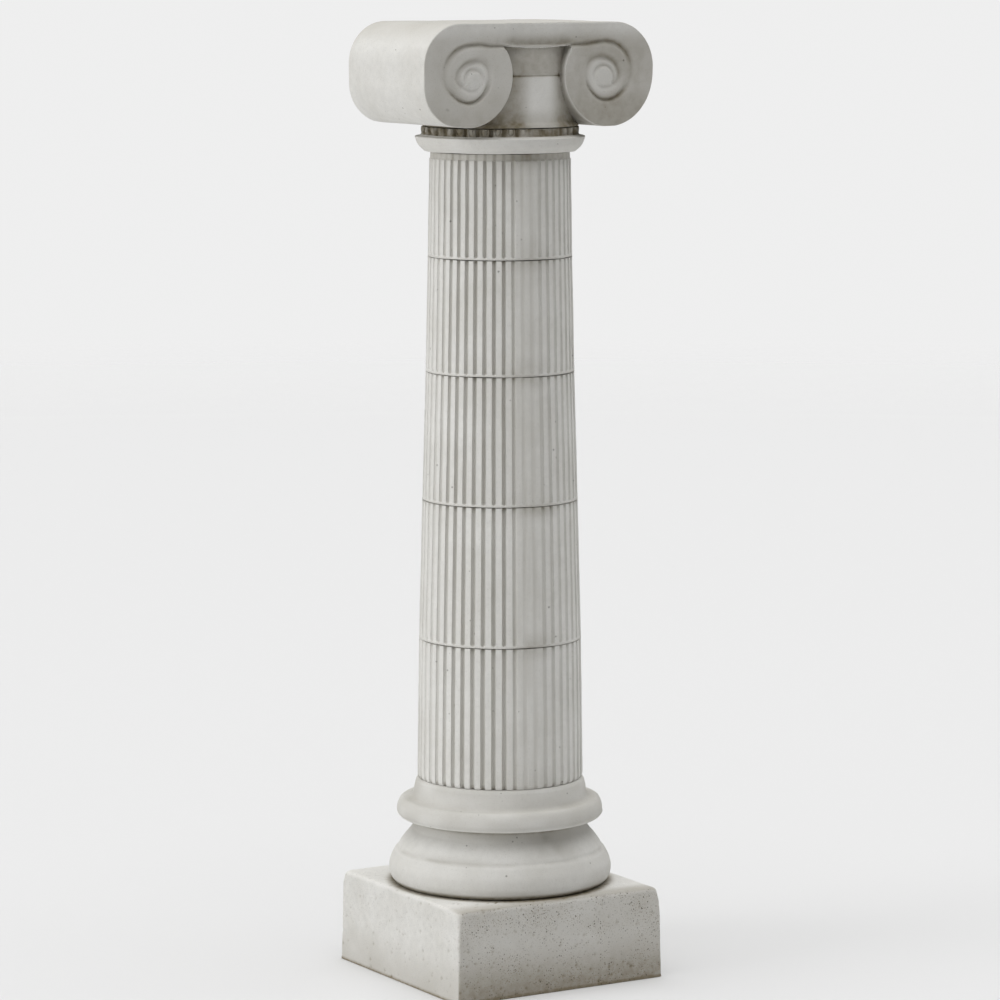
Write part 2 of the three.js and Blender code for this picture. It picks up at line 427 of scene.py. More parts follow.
@dataclass(frozen=True)
class StoneFinish:
    """Pale cast stone: two mottled tones, fine grain, dark pores, and dirt and painted shade.

    Every pattern reads Object coordinates; dirt with painted shade, pores, and paler places with a
    painted highlight also read the mesh's own values "grime", "porous" and "rubbed".

    Attributes:
        slot: The record's material slot.
        light: Colour of the clean stone.
        dark: Colour of its duller patches.
        dirt_and_shade: Colour of the dirt in hollows, and of the painted shade.
        pore_share: Share of the pore cells that hold a pore.
        pore_radius: Largest pore, in shares of a cell.
        pore_cell: Width of a pore cell.
        patch_size: Width of the duller patches.
        grain_size: Width of the finest grain.
        fine_share: Darkness of the finest pores.
        mottle: Difference in tone between specks.
        sparkle: Difference in tone between grains.
        pale: Colour of paler places and of the painted highlight.
        roughness: Roughness of the whole stone.
    """

    slot: Slot
    light: tuple[float, float, float]
    dark: tuple[float, float, float]
    dirt_and_shade: tuple[float, float, float]
    pore_share: float
    pore_radius: float = 0.3
    pore_cell: float = 0.008
    patch_size: float = 0.09
    grain_size: float = 0.0022
    fine_share: float = 0.32
    mottle: float = 0.16
    sparkle: float = 0.20
    pale: tuple[float, float, float] = (0.93, 0.925, 0.90)
    roughness: float = 0.92

    def material(self) -> bpy.types.Material:
        """Build the node material.

        Returns:
            The material, named after its slot.
        """
        made = bpy.data.materials.new(dressed_name(self.slot))
        made.use_nodes = True
        graph = NodeGraph(made.node_tree)
        shader = made.node_tree.nodes["Principled BSDF"]
        shader.inputs["Roughness"].default_value = self.roughness
        shader.inputs["Specular IOR Level"].default_value = 0.25
        place = graph.place()
        specks = graph.noise(place, 6 * self.grain_size, 3.0)
        grain = graph.noise(place, self.grain_size, 2.0)
        pores = graph.math("MULTIPLY", self.pores(graph, place), graph.painted("porous"))
        colour = self.clean(graph, place, specks, grain)
        colour = self.darkened(graph, colour, specks, grain)
        hole = graph.math("MULTIPLY", pores, 0.8)
        colour = graph.mix(hole, colour, tuple(0.35 * part for part in self.dirt_and_shade))
        made.node_tree.links.new(colour, shader.inputs["Base Color"])
        height = graph.math("MULTIPLY_ADD", pores, -1.2, graph.math("ADD", specks, grain))
        bump = made.node_tree.nodes.new("ShaderNodeBump")
        bump.inputs["Strength"].default_value = 0.35
        bump.inputs["Distance"].default_value = 0.0006
        made.node_tree.links.new(height, bump.inputs["Height"])
        made.node_tree.links.new(bump.outputs["Normal"], shader.inputs["Normal"])
        return made

    def clean(
        self,
        graph: NodeGraph,
        place: bpy.types.NodeSocket,
        specks: bpy.types.NodeSocket,
        grain: bpy.types.NodeSocket,
    ) -> bpy.types.NodeSocket:
        """Colour of the clean stone: dull patches, paler places and a painted highlight, and specks and
        grain over them.

        Args:
            graph: Where its nodes go.
            place: Object coordinates.
            specks: Value of the coarser noise.
            grain: Value of the finest noise.

        Returns:
            The colour.
        """
        patches = graph.noise(place, self.patch_size, 5.0)
        tone = graph.math("MULTIPLY_ADD", patches, 2.6, -0.8)
        colour = graph.mix(tone, self.dark, self.light)
        # The paler colour: paler stone, and on the bell a painted highlight.
        colour = graph.mix(graph.painted("pale_and_highlight"), colour, self.pale)
        mottle = graph.math("MULTIPLY_ADD", specks, self.mottle, 1 - self.mottle / 2)
        sparkle = graph.math("MULTIPLY_ADD", grain, self.sparkle, 1 - self.sparkle / 2)
        return graph.scaled(colour, graph.math("MULTIPLY", mottle, sparkle))

    def darkened(
        self,
        graph: NodeGraph,
        colour: bpy.types.NodeSocket,
        specks: bpy.types.NodeSocket,
        grain: bpy.types.NodeSocket,
    ) -> bpy.types.NodeSocket:
        """A colour with the painted dirt and painted shade over it, and the finest pores where the grain is
        highest.

        Args:
            graph: Where its nodes go.
            colour: Colour of the clean stone.
            specks: Value of the coarser noise.
            grain: Value of the finest noise.

        Returns:
            The colour.
        """
        # The grime values darken the stone with dirt and with painted shade in hollows, under overhangs and
        # on the sides turned from the light.
        patchy = graph.math("MULTIPLY_ADD", specks, 0.9, 0.55)
        dirt_and_shade_share = graph.math("MULTIPLY", graph.painted("grime_and_shade"), patchy)
        colour = graph.mix(dirt_and_shade_share, colour, self.dirt_and_shade)
        fine_pores = graph.math("MULTIPLY_ADD", grain, 9.0, -5.2, clamp=True)
        fine_pores = graph.math("MULTIPLY", fine_pores, graph.painted("porous"))
        return graph.mix(graph.math("MULTIPLY", fine_pores, self.fine_share), colour, self.dirt_and_shade)

    def pores(self, graph: NodeGraph, place: bpy.types.NodeSocket) -> bpy.types.NodeSocket:
        """Dots of differing size: each cell's radius is its random value less the empty share.

        Args:
            graph: Where its nodes go.
            place: Object coordinates.

        Returns:
            1 in a pore and 0 outside, with a short fade between.
        """
        cells = graph.tree.nodes.new("ShaderNodeTexVoronoi")
        cells.inputs["Scale"].default_value = 1.0 / self.pore_cell
        graph.tree.links.new(place, cells.inputs["Vector"])
        split = graph.tree.nodes.new("ShaderNodeSeparateColor")
        graph.tree.links.new(cells.outputs["Color"], split.inputs["Color"])
        chosen = graph.math("SUBTRACT", split.outputs["Red"], 1.0 - self.pore_share)
        radius = graph.math("MULTIPLY", chosen, self.pore_radius / self.pore_share)
        inside = graph.math("SUBTRACT", radius, cells.outputs["Distance"])
        return graph.math("MULTIPLY", inside, 14.0, clamp=True)


def dressed_name(slot: Slot) -> str:
    """Name of the material that dresses a slot."""
    return slot.value + "_dressed"


CLEAN = (0.69, 0.683, 0.655)
DULL = (0.62, 0.61, 0.575)
# Dirt colours, also used for the painted shade.
BROWN = (0.19, 0.162, 0.108)
GREY_DIRT_AND_SHADE = (0.23, 0.208, 0.160)
EARTH_AND_SHADE = (0.225, 0.190, 0.130)

FINISHES = {
    Slot.PLINTH: StoneFinish(
        Slot.PLINTH, CLEAN, DULL, EARTH_AND_SHADE, pore_share=0.85, pore_radius=0.36, pore_cell=0.0046,
        fine_share=0.85, mottle=0.20, sparkle=0.30,
    ),
    Slot.BASE: StoneFinish(Slot.BASE, CLEAN, DULL, GREY_DIRT_AND_SHADE, pore_share=0.05),
    Slot.SHAFT: StoneFinish(Slot.SHAFT, CLEAN, DULL, GREY_DIRT_AND_SHADE, pore_share=0.03),
    Slot.COLLAR: StoneFinish(Slot.COLLAR, CLEAN, DULL, BROWN, pore_share=0.05),
    Slot.CAPITAL: StoneFinish(Slot.CAPITAL, CLEAN, DULL, BROWN, pore_share=0.03),
}


def paint(
    mesh: bpy.types.Mesh,
    grime_and_shade: np.ndarray,
    porous: float | np.ndarray = 0.7,
    pale_and_highlight: float | np.ndarray = 0.0,
) -> bpy.types.Mesh:
    """Write the values that the stone's material reads, from 0 to 1 at each vertex.

    Args:
        mesh: The mesh to write them to.
        grime_and_shade: Dirt and painted shade at each vertex.
        porous: Darkness of the pores at each vertex, or one value for all.
        pale_and_highlight: Share of the paler colour, which also paints a highlight, at each vertex, or one
            value for all.

    Returns:
        The same mesh.
    """
    for name, values in (("grime_and_shade", grime_and_shade), ("porous", porous), ("pale_and_highlight", pale_and_highlight)):
        layer = mesh.attributes.new(name, "FLOAT", "POINT")
        spread = np.broadcast_to(np.clip(values, 0, 1), len(mesh.vertices))
        layer.data.foreach_set("value", spread.astype(np.float32))
    return mesh


@dataclass
class StoneBlock:
    """One block of the column, from its skin to its dressed object.

    Attributes:
        node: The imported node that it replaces.
        slot: The material slot of its stone.
        crease: Angle in degrees past which an edge stays sharp.
    """

    node: str
    slot: Slot
    crease: float = 50.0

    def dress(self, mesh: bpy.types.Mesh) -> bpy.types.Object:
        """Shade and ride a finished, painted mesh.

        Args:
            mesh: The block's closed mesh.

        Returns:
            The object, at the origin.
        """
        mesh.polygons.foreach_set("use_smooth", np.ones(len(mesh.polygons), dtype=bool))
        mesh.set_sharp_from_angle(angle=np.radians(self.crease))
        material = bpy.data.materials.get(dressed_name(self.slot)) or FINISHES[self.slot].material()
        mesh.materials.append(material)
        piece = bpy.data.objects.new(f"{self.node}_carved", mesh)
        bpy.context.collection.objects.link(piece)
        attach(piece, ROOT_BODY)
        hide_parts(self.node)
        return piece


# Plinth


@dataclass
class Plinth:
    """The square plinth: slightly tapered, softly rounded, pitted, with dirt and painted shadow at its foot
    and under the base.
    """

    block: StoneBlock = field(default_factory=lambda: StoneBlock("plinth", Slot.PLINTH))
    side: float = 0.4495
    top_side: float = 0.4435
    height: float = 0.175 - JOINT
    corner: float = 0.006
    worn_corner: float = 0.014
    top_edge: float = 0.010
    foot_edge: float = 0.002
    side_columns: int = 168
    side_rows: int = 62
    top_rows: int = 34
    pits: int = 620

    def rings(self) -> tuple[np.ndarray, np.ndarray]:
        """Half width and height of each ring, up the sides and in over the top.

        Returns:
            Two arrays, one value for each ring.
        """
        foot = np.linspace(0, np.pi / 2, 4)
        edge = np.linspace(0, np.pi / 2, 8)
        half, top = self.side / 2, self.top_side / 2
        rise = np.linspace(self.foot_edge, self.height - self.top_edge, self.side_rows)[1:-1]
        share = (rise - self.foot_edge) / (self.height - self.top_edge - self.foot_edge)
        inwards = (top - self.top_edge) * (1 - np.linspace(0, 1, self.top_rows)[1:-1] ** 1.15)
        halves = np.concatenate([
            half - self.foot_edge * (1 - np.sin(foot)),
            half + (top - half) * share,
            top - self.top_edge * (1 - np.cos(edge)),
            inwards,
        ])
        heights = np.concatenate([
            self.foot_edge * (1 - np.cos(foot)),
            rise,
            self.height - self.top_edge * (1 - np.sin(edge)),
            np.full(len(inwards), self.height),
        ])
        return halves, heights

    def skin(self) -> Skin:
        """Square rings with rounded corners: each side runs straight, then turns by an arc.

        A point is outward * (h - c + c cos a) + along * (s (h - c) + c sin a), for a ring of half
        width h and corner radius c, with s from -1 to 1 on the straight and a from 0 to 90
        degrees on the arc.

        Returns:
            The closed skin.
        """
        straight = np.linspace(-1, 1, self.side_columns)
        arc = np.linspace(0, np.pi / 2, 7)[1:-1]
        slide = np.concatenate([straight, np.ones(len(arc))])
        turn = np.concatenate([np.zeros(len(straight)), arc])
        halves, heights = self.rings()
        half = halves[:, None]
        rounded = self.corner + (self.worn_corner - self.corner) * smoothstep(0.145, 0.172, heights)
        corner = np.minimum(rounded[:, None], 0.6 * half)
        sides = []
        for quarter in range(4):
            angle = quarter * np.pi / 2
            out = half - corner + corner * np.cos(turn)
            along = slide * (half - corner) + corner * np.sin(turn)
            x = out * np.cos(angle) - along * np.sin(angle)
            y = out * np.sin(angle) + along * np.cos(angle)
            sides.append(np.stack([x, y, np.broadcast_to(heights[:, None], x.shape)], axis=-1))
        return barrel(np.concatenate(sides, axis=1))

    def build(self) -> bpy.types.Object:
        """Weather the skin and dress it.

        Returns:
            The plinth's object.
        """
        skin = self.skin()
        points = skin.points
        x, y, z = points.T
        near_edge = np.minimum(np.abs(x), np.abs(y)) > 0.19
        rough = np.where(near_edge, 1.6, 1.0)
        wavy = 0.0007 * (1 + lumps(points, 0.09, 1)) + 0.0002 * rough * (1 + lumps(points, 0.014, 2))
        chips = 0.003 * np.clip(lumps(points, 0.018, 3) - 0.55, 0, None) * near_edge
        chosen = np.random.default_rng(4)
        centres = points[chosen.choice(len(points), self.pits)]
        radius = chosen.uniform(0.0022, 0.0036, self.pits)
        pits = pit_depth(points, np.column_stack([centres, radius, 0.5 * radius]))
        above_floor = smoothstep(0, 0.004, z)
        facing = skin.normals()
        right_edge = 0.0026 * smoothstep(0.150, 0.222, x) * smoothstep(0.120, 0.172, z)
        skin.sink((wavy + chips + pits) * above_floor + right_edge)
        front, up = smoothstep(0.3, 0.9, -facing[:, 1]), smoothstep(0.4, 0.9, facing[:, 2])
        blotches = lumps(points, 0.03, 5)
        foot = smoothstep(0.10, 0.0, z + 0.015 * blotches)
        # Painted contact shadow: a dark line along the very foot, where the plinth meets the floor.
        line = smoothstep(0.007, 0.001, z)
        side = smoothstep(0.3, 0.9, -facing[:, 0])
        # The top is darker along its front edge.
        near_front = smoothstep(-0.160, -0.218, y) * up
        # The front face is darker, most towards its foot, and the -X face has dirt at its foot.
        grime_and_shade = front * (0.18 + 0.54 * foot + 0.07 * blotches) + side * 0.28 * foot
        grime_and_shade += 0.7 * line + 200 * pits
        # Painted shade: a dark ring on the top, under the base's lower roll.
        under = smoothstep(0.222, 0.204, np.hypot(x, y)) * smoothstep(0.165, 0.172, z)
        grime_and_shade += 0.8 * under + 0.40 * near_front + 0.03 * up
        clusters = smoothstep(-0.5, 0.5, lumps(points, 0.035, 6) + 0.4 * blotches)
        porous = 0.14 + front * (0.30 + 0.70 * clusters) + 0.10 * up
        # The top is paler, more towards +X, except along its front edge.
        pale_and_highlight = up * (0.20 + 0.16 * smoothstep(0.05, 0.20, x)) * (1 - near_front)
        return self.block.dress(paint(skin.mesh("plinth_carved"), grime_and_shade, porous, pale_and_highlight))


# Turned blocks


def turned(profile: np.ndarray, columns: int) -> np.ndarray:
    """Spin a profile of radius and height about the axis, as a grid of rings."""
    angle = np.arange(columns) * FULL_TURN / columns
    return around(angle[None, :], profile[:, :1], profile[:, 1:])


@dataclass
class Base:
    """The moulded base: two rolls with a deep hollow between them, under a flaring neck."""

    block: StoneBlock = field(default_factory=lambda: StoneBlock("base", Slot.BASE))
    bottom: float = 0.175
    top: float = 0.374 - JOINT
    columns: int = 300
    stain_angle: float = np.radians(2.0)

    def profile(self) -> np.ndarray:
        """The half section, from the foot of the lower roll up to the shaft.

        Returns:
            Rows of radius and height.
        """
        b = self.bottom
        stretches = [
            ((0.2035, b + 0.0006), (0.2062, b + 0.0052), 10),
            ((0.2112, b + 0.0130), (0.2117, 0.1970), 10),
            ((0.2119, 0.2040), (0.2112, 0.2090), 8),
            ((0.2104, 0.2148), (0.2077, 0.2206), 10),
            ((0.2053, 0.2262), (0.2026, 0.2308), 8),
            ((0.2002, 0.2354), (0.1966, 0.2378), 8),
            ((0.1944, 0.2390), (0.1936, 0.2412), 6),
            ((0.1930, 0.2440), (0.1914, 0.2468), 8),
            ((0.1860, 0.2550), (0.1802, 0.2620), 8),
            ((0.1736, 0.2690), (0.1682, 0.2760), 12),
            ((0.1640, 0.2845), (0.1640, 0.2932), 8),
            ((0.1640, 0.2964), (0.1690, 0.2968), 5),
            ((0.1800, 0.2976), (0.1878, 0.2986), 6),
            ((0.1908, 0.2990), (0.1928, 0.3020), 6),
            ((0.1966, 0.3062), (0.1968, 0.3110), 8),
            ((0.1964, 0.3190), (0.1943, 0.3240), 8),
            ((0.1920, 0.3305), (0.1885, 0.3330), 8),
            ((0.1860, 0.3352), (0.1812, 0.3356), 6),
            ((0.1742, 0.3352), (0.1704, 0.3368), 8),
            ((0.1672, 0.3384), (0.1658, 0.3430), 8),
            ((0.1628, 0.3560), (0.1612, 0.3640), 8),
            ((0.1602, 0.3705), (0.1550, self.top), 8),
        ]
        return chain((0.1975, b), stretches)

    def bruises(self) -> np.ndarray:
        """Two rubbed places on the right, on the upper roll's crown and on the lower roll's shoulder.

        Returns:
            Rows of x, y, z, radius and depth.
        """
        return np.array([
            (0.163, -0.098, 0.336, 0.034, 0.0065),
            (0.176, -0.105, 0.232, 0.026, 0.0042),
        ])

    def build(self) -> bpy.types.Object:
        """Turn the profile, weather it and dress it, with a brown stain in front of the hollow and painted
        shade.

        Returns:
            The base's object.
        """
        skin = barrel(turned(self.profile(), self.columns))
        points = skin.points
        z = points[:, 2]
        radius = np.hypot(points[:, 0], points[:, 1])
        worn = 0.0006 * (1 + lumps(points, 0.07, 11)) + 0.00016 * (1 + lumps(points, 0.016, 12))
        edges = smoothstep(self.bottom, self.bottom + 0.004, z) * smoothstep(self.top, self.top - 0.004, z)
        skin.sink(worn * edges + pit_depth(points, self.bruises()))
        # Painted shade with some dirt in the hollow, on the ledge and in the corner at the neck; painted
        # shade in the crevice under the upper roll, and a painted contact shadow at the foot.
        inside = smoothstep(0.190, 0.176, radius)
        hollow = smoothstep(0.264, 0.292, z) * smoothstep(0.3010, 0.2975, z) * inside
        crevice = smoothstep(0.288, 0.295, z) * smoothstep(0.2995, 0.2980, z) * inside
        angle = np.arctan2(points[:, 0], -points[:, 1])
        stain = np.exp(-(((angle - self.stain_angle) / 0.24) ** 2))
        stain *= smoothstep(0.235, 0.262, z) * smoothstep(0.300, 0.290, z)
        foot = smoothstep(self.bottom + 0.010, self.bottom + 0.002, z)
        ledge = np.exp(-(((z - 0.2396) / 0.0032) ** 2)) * (1 + lumps(points, 0.03, 15))
        corner = np.exp(-(((z - 0.3375) / 0.0045) ** 2)) * smoothstep(0.182, 0.172, radius)
        grime_and_shade = 0.30 * hollow + 0.5 * crevice + 1.0 * foot + 0.13 * ledge + 0.12 * corner
        grime_and_shade += 0.30 * stain * (0.8 + 0.4 * lumps(points, 0.02, 13))
        # The upper roll and neck, and the lower roll, are a little darker all round.
        cloudy = lumps(points * (1, 1, 3), 0.05, 14)
        grime_and_shade += (0.17 + 0.10 * cloudy) * smoothstep(0.300, 0.306, z) + 0.08 * smoothstep(0.236, 0.230, z)
        smudge = np.exp(-(((angle + np.radians(62)) / 0.45) ** 2)) * np.exp(-(((z - 0.243) / 0.008) ** 2))
        grime_and_shade += 0.22 * smudge
        return self.block.dress(paint(skin.mesh("base_carved"), grime_and_shade))


# Shaft


@dataclass(frozen=True)
class Wear:
    """An upright strip that weather has worn down.

    Attributes:
        middle: Angle of its middle.
        half_width: Angle from its middle to where it ends.
        soft: Share of the half width over which it fades.
        share: Share of the carving that is lost in its middle.
    """

    middle: float
    half_width: float
    soft: float
    share: float

    def at(self, angle: np.ndarray) -> np.ndarray:
        """Share of the carving that is lost at an angle: full in the strip, fading at its sides."""
        away = np.abs((angle - self.middle + np.pi) % FULL_TURN - np.pi) / self.half_width
        return self.share * smoothstep(1.0, 1.0 - self.soft, away)


@dataclass
class Shaft:
    """Five fluted drums that taper upwards, each above the lowest with a thin lip round its foot."""

    joints: tuple[tuple[float, float], ...] = (
        (0.374, 0.1575),
        (0.641, 0.1538),
        (0.905, 0.1471),
        (1.147, 0.1403),
        (1.363, 0.1358),
        (1.559, 0.1327),
    )
    flutes: int = 48
    fillet: float = 0.56
    flute_depth: float = 0.0056
    turn: float = np.radians(1.9)
    lip_height: float = 0.0040
    lip_reach: float = 0.0003
    flute_end: float = 0.006
    neck_height: float = 0.0125
    neck_depth: float = 0.0016
    row_step: float = 0.011
    stain_angle: float = np.radians(-5.0)
    head_stains: tuple[float, ...] = (0.22, 0.60, 0.45, 0.45)
    front_wear: Wear = Wear(np.radians(-9.0), np.radians(19.0), 0.75, 0.90)
    left_wear: Wear = Wear(np.radians(-108.0), np.radians(48.0), 0.80, 0.60)
    right_wear: Wear = Wear(np.radians(34.0), np.radians(36.0), 0.50, 0.35)

    def columns(self) -> tuple[np.ndarray, np.ndarray]:
        """Angles round the shaft, and each one's place across its flute, -1 to 1, or 2 on a fillet.

        Returns:
            Two arrays, one value for each column.
        """
        across = -np.cos(np.linspace(0, np.pi, 13))
        width = 1 - self.fillet
        gaps = np.linspace(width / 2, 1 - width / 2, 5)[1:-1]
        offset = np.concatenate([across * width / 2, gaps])
        place = np.concatenate([across, np.full(len(gaps), 2.0)])
        pitch = FULL_TURN / self.flutes
        flute = np.arange(self.flutes)[:, None]
        angle = (flute - self.flutes / 2 + offset) * pitch + self.turn
        return angle.ravel(), np.tile(place, self.flutes)

    def rows(self, low: float, high: float) -> np.ndarray:
        """Heights of a drum's rings, close together at its lip and its top edge.

        Args:
            low: Height of the drum's foot.
            high: Height of its head.

        Returns:
            The heights, rising.
        """
        foot = low + np.array([0, 0.0003, 0.0007, 0.0020, 0.0036, 0.0041, 0.0050, 0.0064, 0.0080, 0.0100])
        head = high - np.array([0.0138, 0.0128, 0.0118, 0.007, 0.0035, 0.0015, 0.0005, 0.0002, 0])
        middle = np.arange(foot[-1] + self.row_step, head[0], self.row_step)
        return np.concatenate([foot, middle, head])

    def drum(self, number: int) -> bpy.types.Object:
        """Work out one drum.

        The radius over the fillets runs straight from joint to joint. A flute sinks it by
        depth * (1 - across^2 - end^2)^0.7, where end runs from 1 to 0 over the flute's round
        foot, and the wear takes its share of that depth. The top drum has a plain sunk neck.

        Args:
            number: 1 at the foot of the shaft to 5 at its head.

        Returns:
            The drum's object.
        """
        (low, low_radius), (high, high_radius) = self.joints[number - 1], self.joints[number]
        top = high - JOINT
        angle, across = self.columns()
        z = self.rows(low, top)[:, None]
        above, below = z - low, top - z
        lipped, topmost = number > 1, number == len(self.joints) - 1
        wear = self.front_wear.at(angle)[None, :]
        kept = (1 - wear) * ((1 - self.left_wear.at(angle)) * (1 - self.right_wear.at(angle)))[None, :]
        radius = low_radius + (high_radius - low_radius) * (z - low) / (high - low)
        lip_height = self.lip_height if lipped else 0.0
        end = np.clip(1 - (above - lip_height) / self.flute_end, 0, 1) if lipped else np.zeros_like(z)
        start = np.where(above > lip_height, 1.0, 0.0) if lipped else 1.0
        hollow = np.clip(1 - across[None, :] ** 2 - end**2, 0, None) ** 0.7 * start
        neck = smoothstep(self.neck_height + 0.0008, self.neck_height - 0.0008, below) * topmost
        flute = self.flute_depth * hollow * kept * (1 - neck) + self.neck_depth * neck
        band = smoothstep(lip_height + 0.001, lip_height - 0.001, above) * lipped
        foot_reach, foot_rise = (0.0004, 0.0005) if lipped else (0.0030, 0.0070)
        foot_round = np.clip(1 - above / foot_rise, 0, 1) ** 2 * foot_reach
        head_round = np.clip(1 - below / 0.0005, 0, 1) ** 2 * 0.0003
        sunk_head = 0.0 if topmost else 0.0004 * smoothstep(0.012, 0.0, below) * wear
        ring = radius - flute + self.lip_reach * band * kept - foot_round - head_round - sunk_head
        spread = np.stack(np.broadcast_arrays(z * 1.0, angle[None, :] * 0.9, radius), axis=-1)
        wobble = 0.0005 / radius * lumps(spread.reshape(-1, 3), 0.06, 20 + number).reshape(ring.shape)
        skin = barrel(around(angle[None, :] + wobble, ring, z))
        points = skin.points
        skin.sink(0.00045 * (1 + lumps(points, 0.05, 31)) + 0.00022 * (1 + lumps(points, 0.009, 32)))
        grime_and_shade = self.drum_dirt_and_shade(number, points[:-2], (above, below), hollow * (1 - wear) ** 0.5, wear)
        # Painted shade over the sunk neck under the collar; the lip is a little darker.
        grime_and_shade += 0.16 * band + 0.26 * neck
        # The fillets are a little paler than the flutes.
        pale_and_highlight = np.where(across[None, :] > 1.5, 0.10, 0.05) * np.ones_like(z)
        grime_and_shade, pale_and_highlight = (np.concatenate([value.ravel(), [0, 0]]) for value in (grime_and_shade, pale_and_highlight))
        block = StoneBlock(f"drum_{number}", Slot.SHAFT)
        return block.dress(paint(skin.mesh(f"drum_{number}_carved"), grime_and_shade, pale_and_highlight=pale_and_highlight))

    def drum_dirt_and_shade(
        self,
        number: int,
        points: np.ndarray,
        heights: tuple[np.ndarray, np.ndarray],
        hollow: np.ndarray,
        wear: np.ndarray,
    ) -> np.ndarray:
        """Dirt and painted shade of one drum: in the flutes, at the flutes' ends and under the collar, and
        stains at both ends.

        Args:
            number: Number of the drum.
            points: Its points, one row each.
            heights: Height of each ring above the drum's foot and below its head.
            hollow: How deep in a flute each point lies, 0 to 1.
            wear: Share of the carving that the front strip has lost, for each column.

        Returns:
            Dirt and painted shade at each point, rings by columns.
        """
        above, below = heights
        angle = self.columns()[0]
        streak = 0.5 + 0.5 * lumps(points * (1, 1, 0.12), 0.02, 41).reshape(hollow.shape)
        fine = 0.5 + 0.5 * lumps(points * (1, 1, 0.05), 0.005, 42).reshape(hollow.shape)
        patchy = 0.5 + 0.5 * lumps(points, 0.025, 43).reshape(hollow.shape)
        stain = np.exp(-(((angle - self.stain_angle) / 0.30) ** 2))[None, :]
        # Painted shade in the flutes' heads under the next drum's lip, with drip stains below the joint; on
        # the top drum, painted shade with a stain under the collar.
        if number <= len(self.head_stains):
            drip = self.head_stains[number - 1] * smoothstep(0.032, 0.0, below)
            head = 0.45 * hollow * smoothstep(0.010, 0.001, below) + drip * stain * (0.3 + 0.9 * patchy)
        else:
            head = (0.16 + 0.22 * stain) * smoothstep(0.042, 0.0, below)
        foot = 0.40 * stain * smoothstep(0.055, 0.0, above) * patchy
        # Painted shade in the flutes' ends at the drum's foot.
        foot = foot + 0.35 * hollow * smoothstep(0.012, 0.004, above)
        # Painted shade with some dirt in the flutes: least on the left where the side light strikes them
        # and on the right, most between -62 and -15 degrees.
        shade_side = smoothstep(np.radians(-100), np.radians(-62), angle)
        shade_side = shade_side * (1 - 0.75 * smoothstep(np.radians(-15), np.radians(10), angle))
        shade_share = (0.12 + 0.88 * shade_side)[None, :]
        inside = 0.36 * hollow * (0.6 + 0.6 * streak) * shade_share
        return inside + head + foot + wear * (0.03 * streak + 0.16 * fine)


# Collar


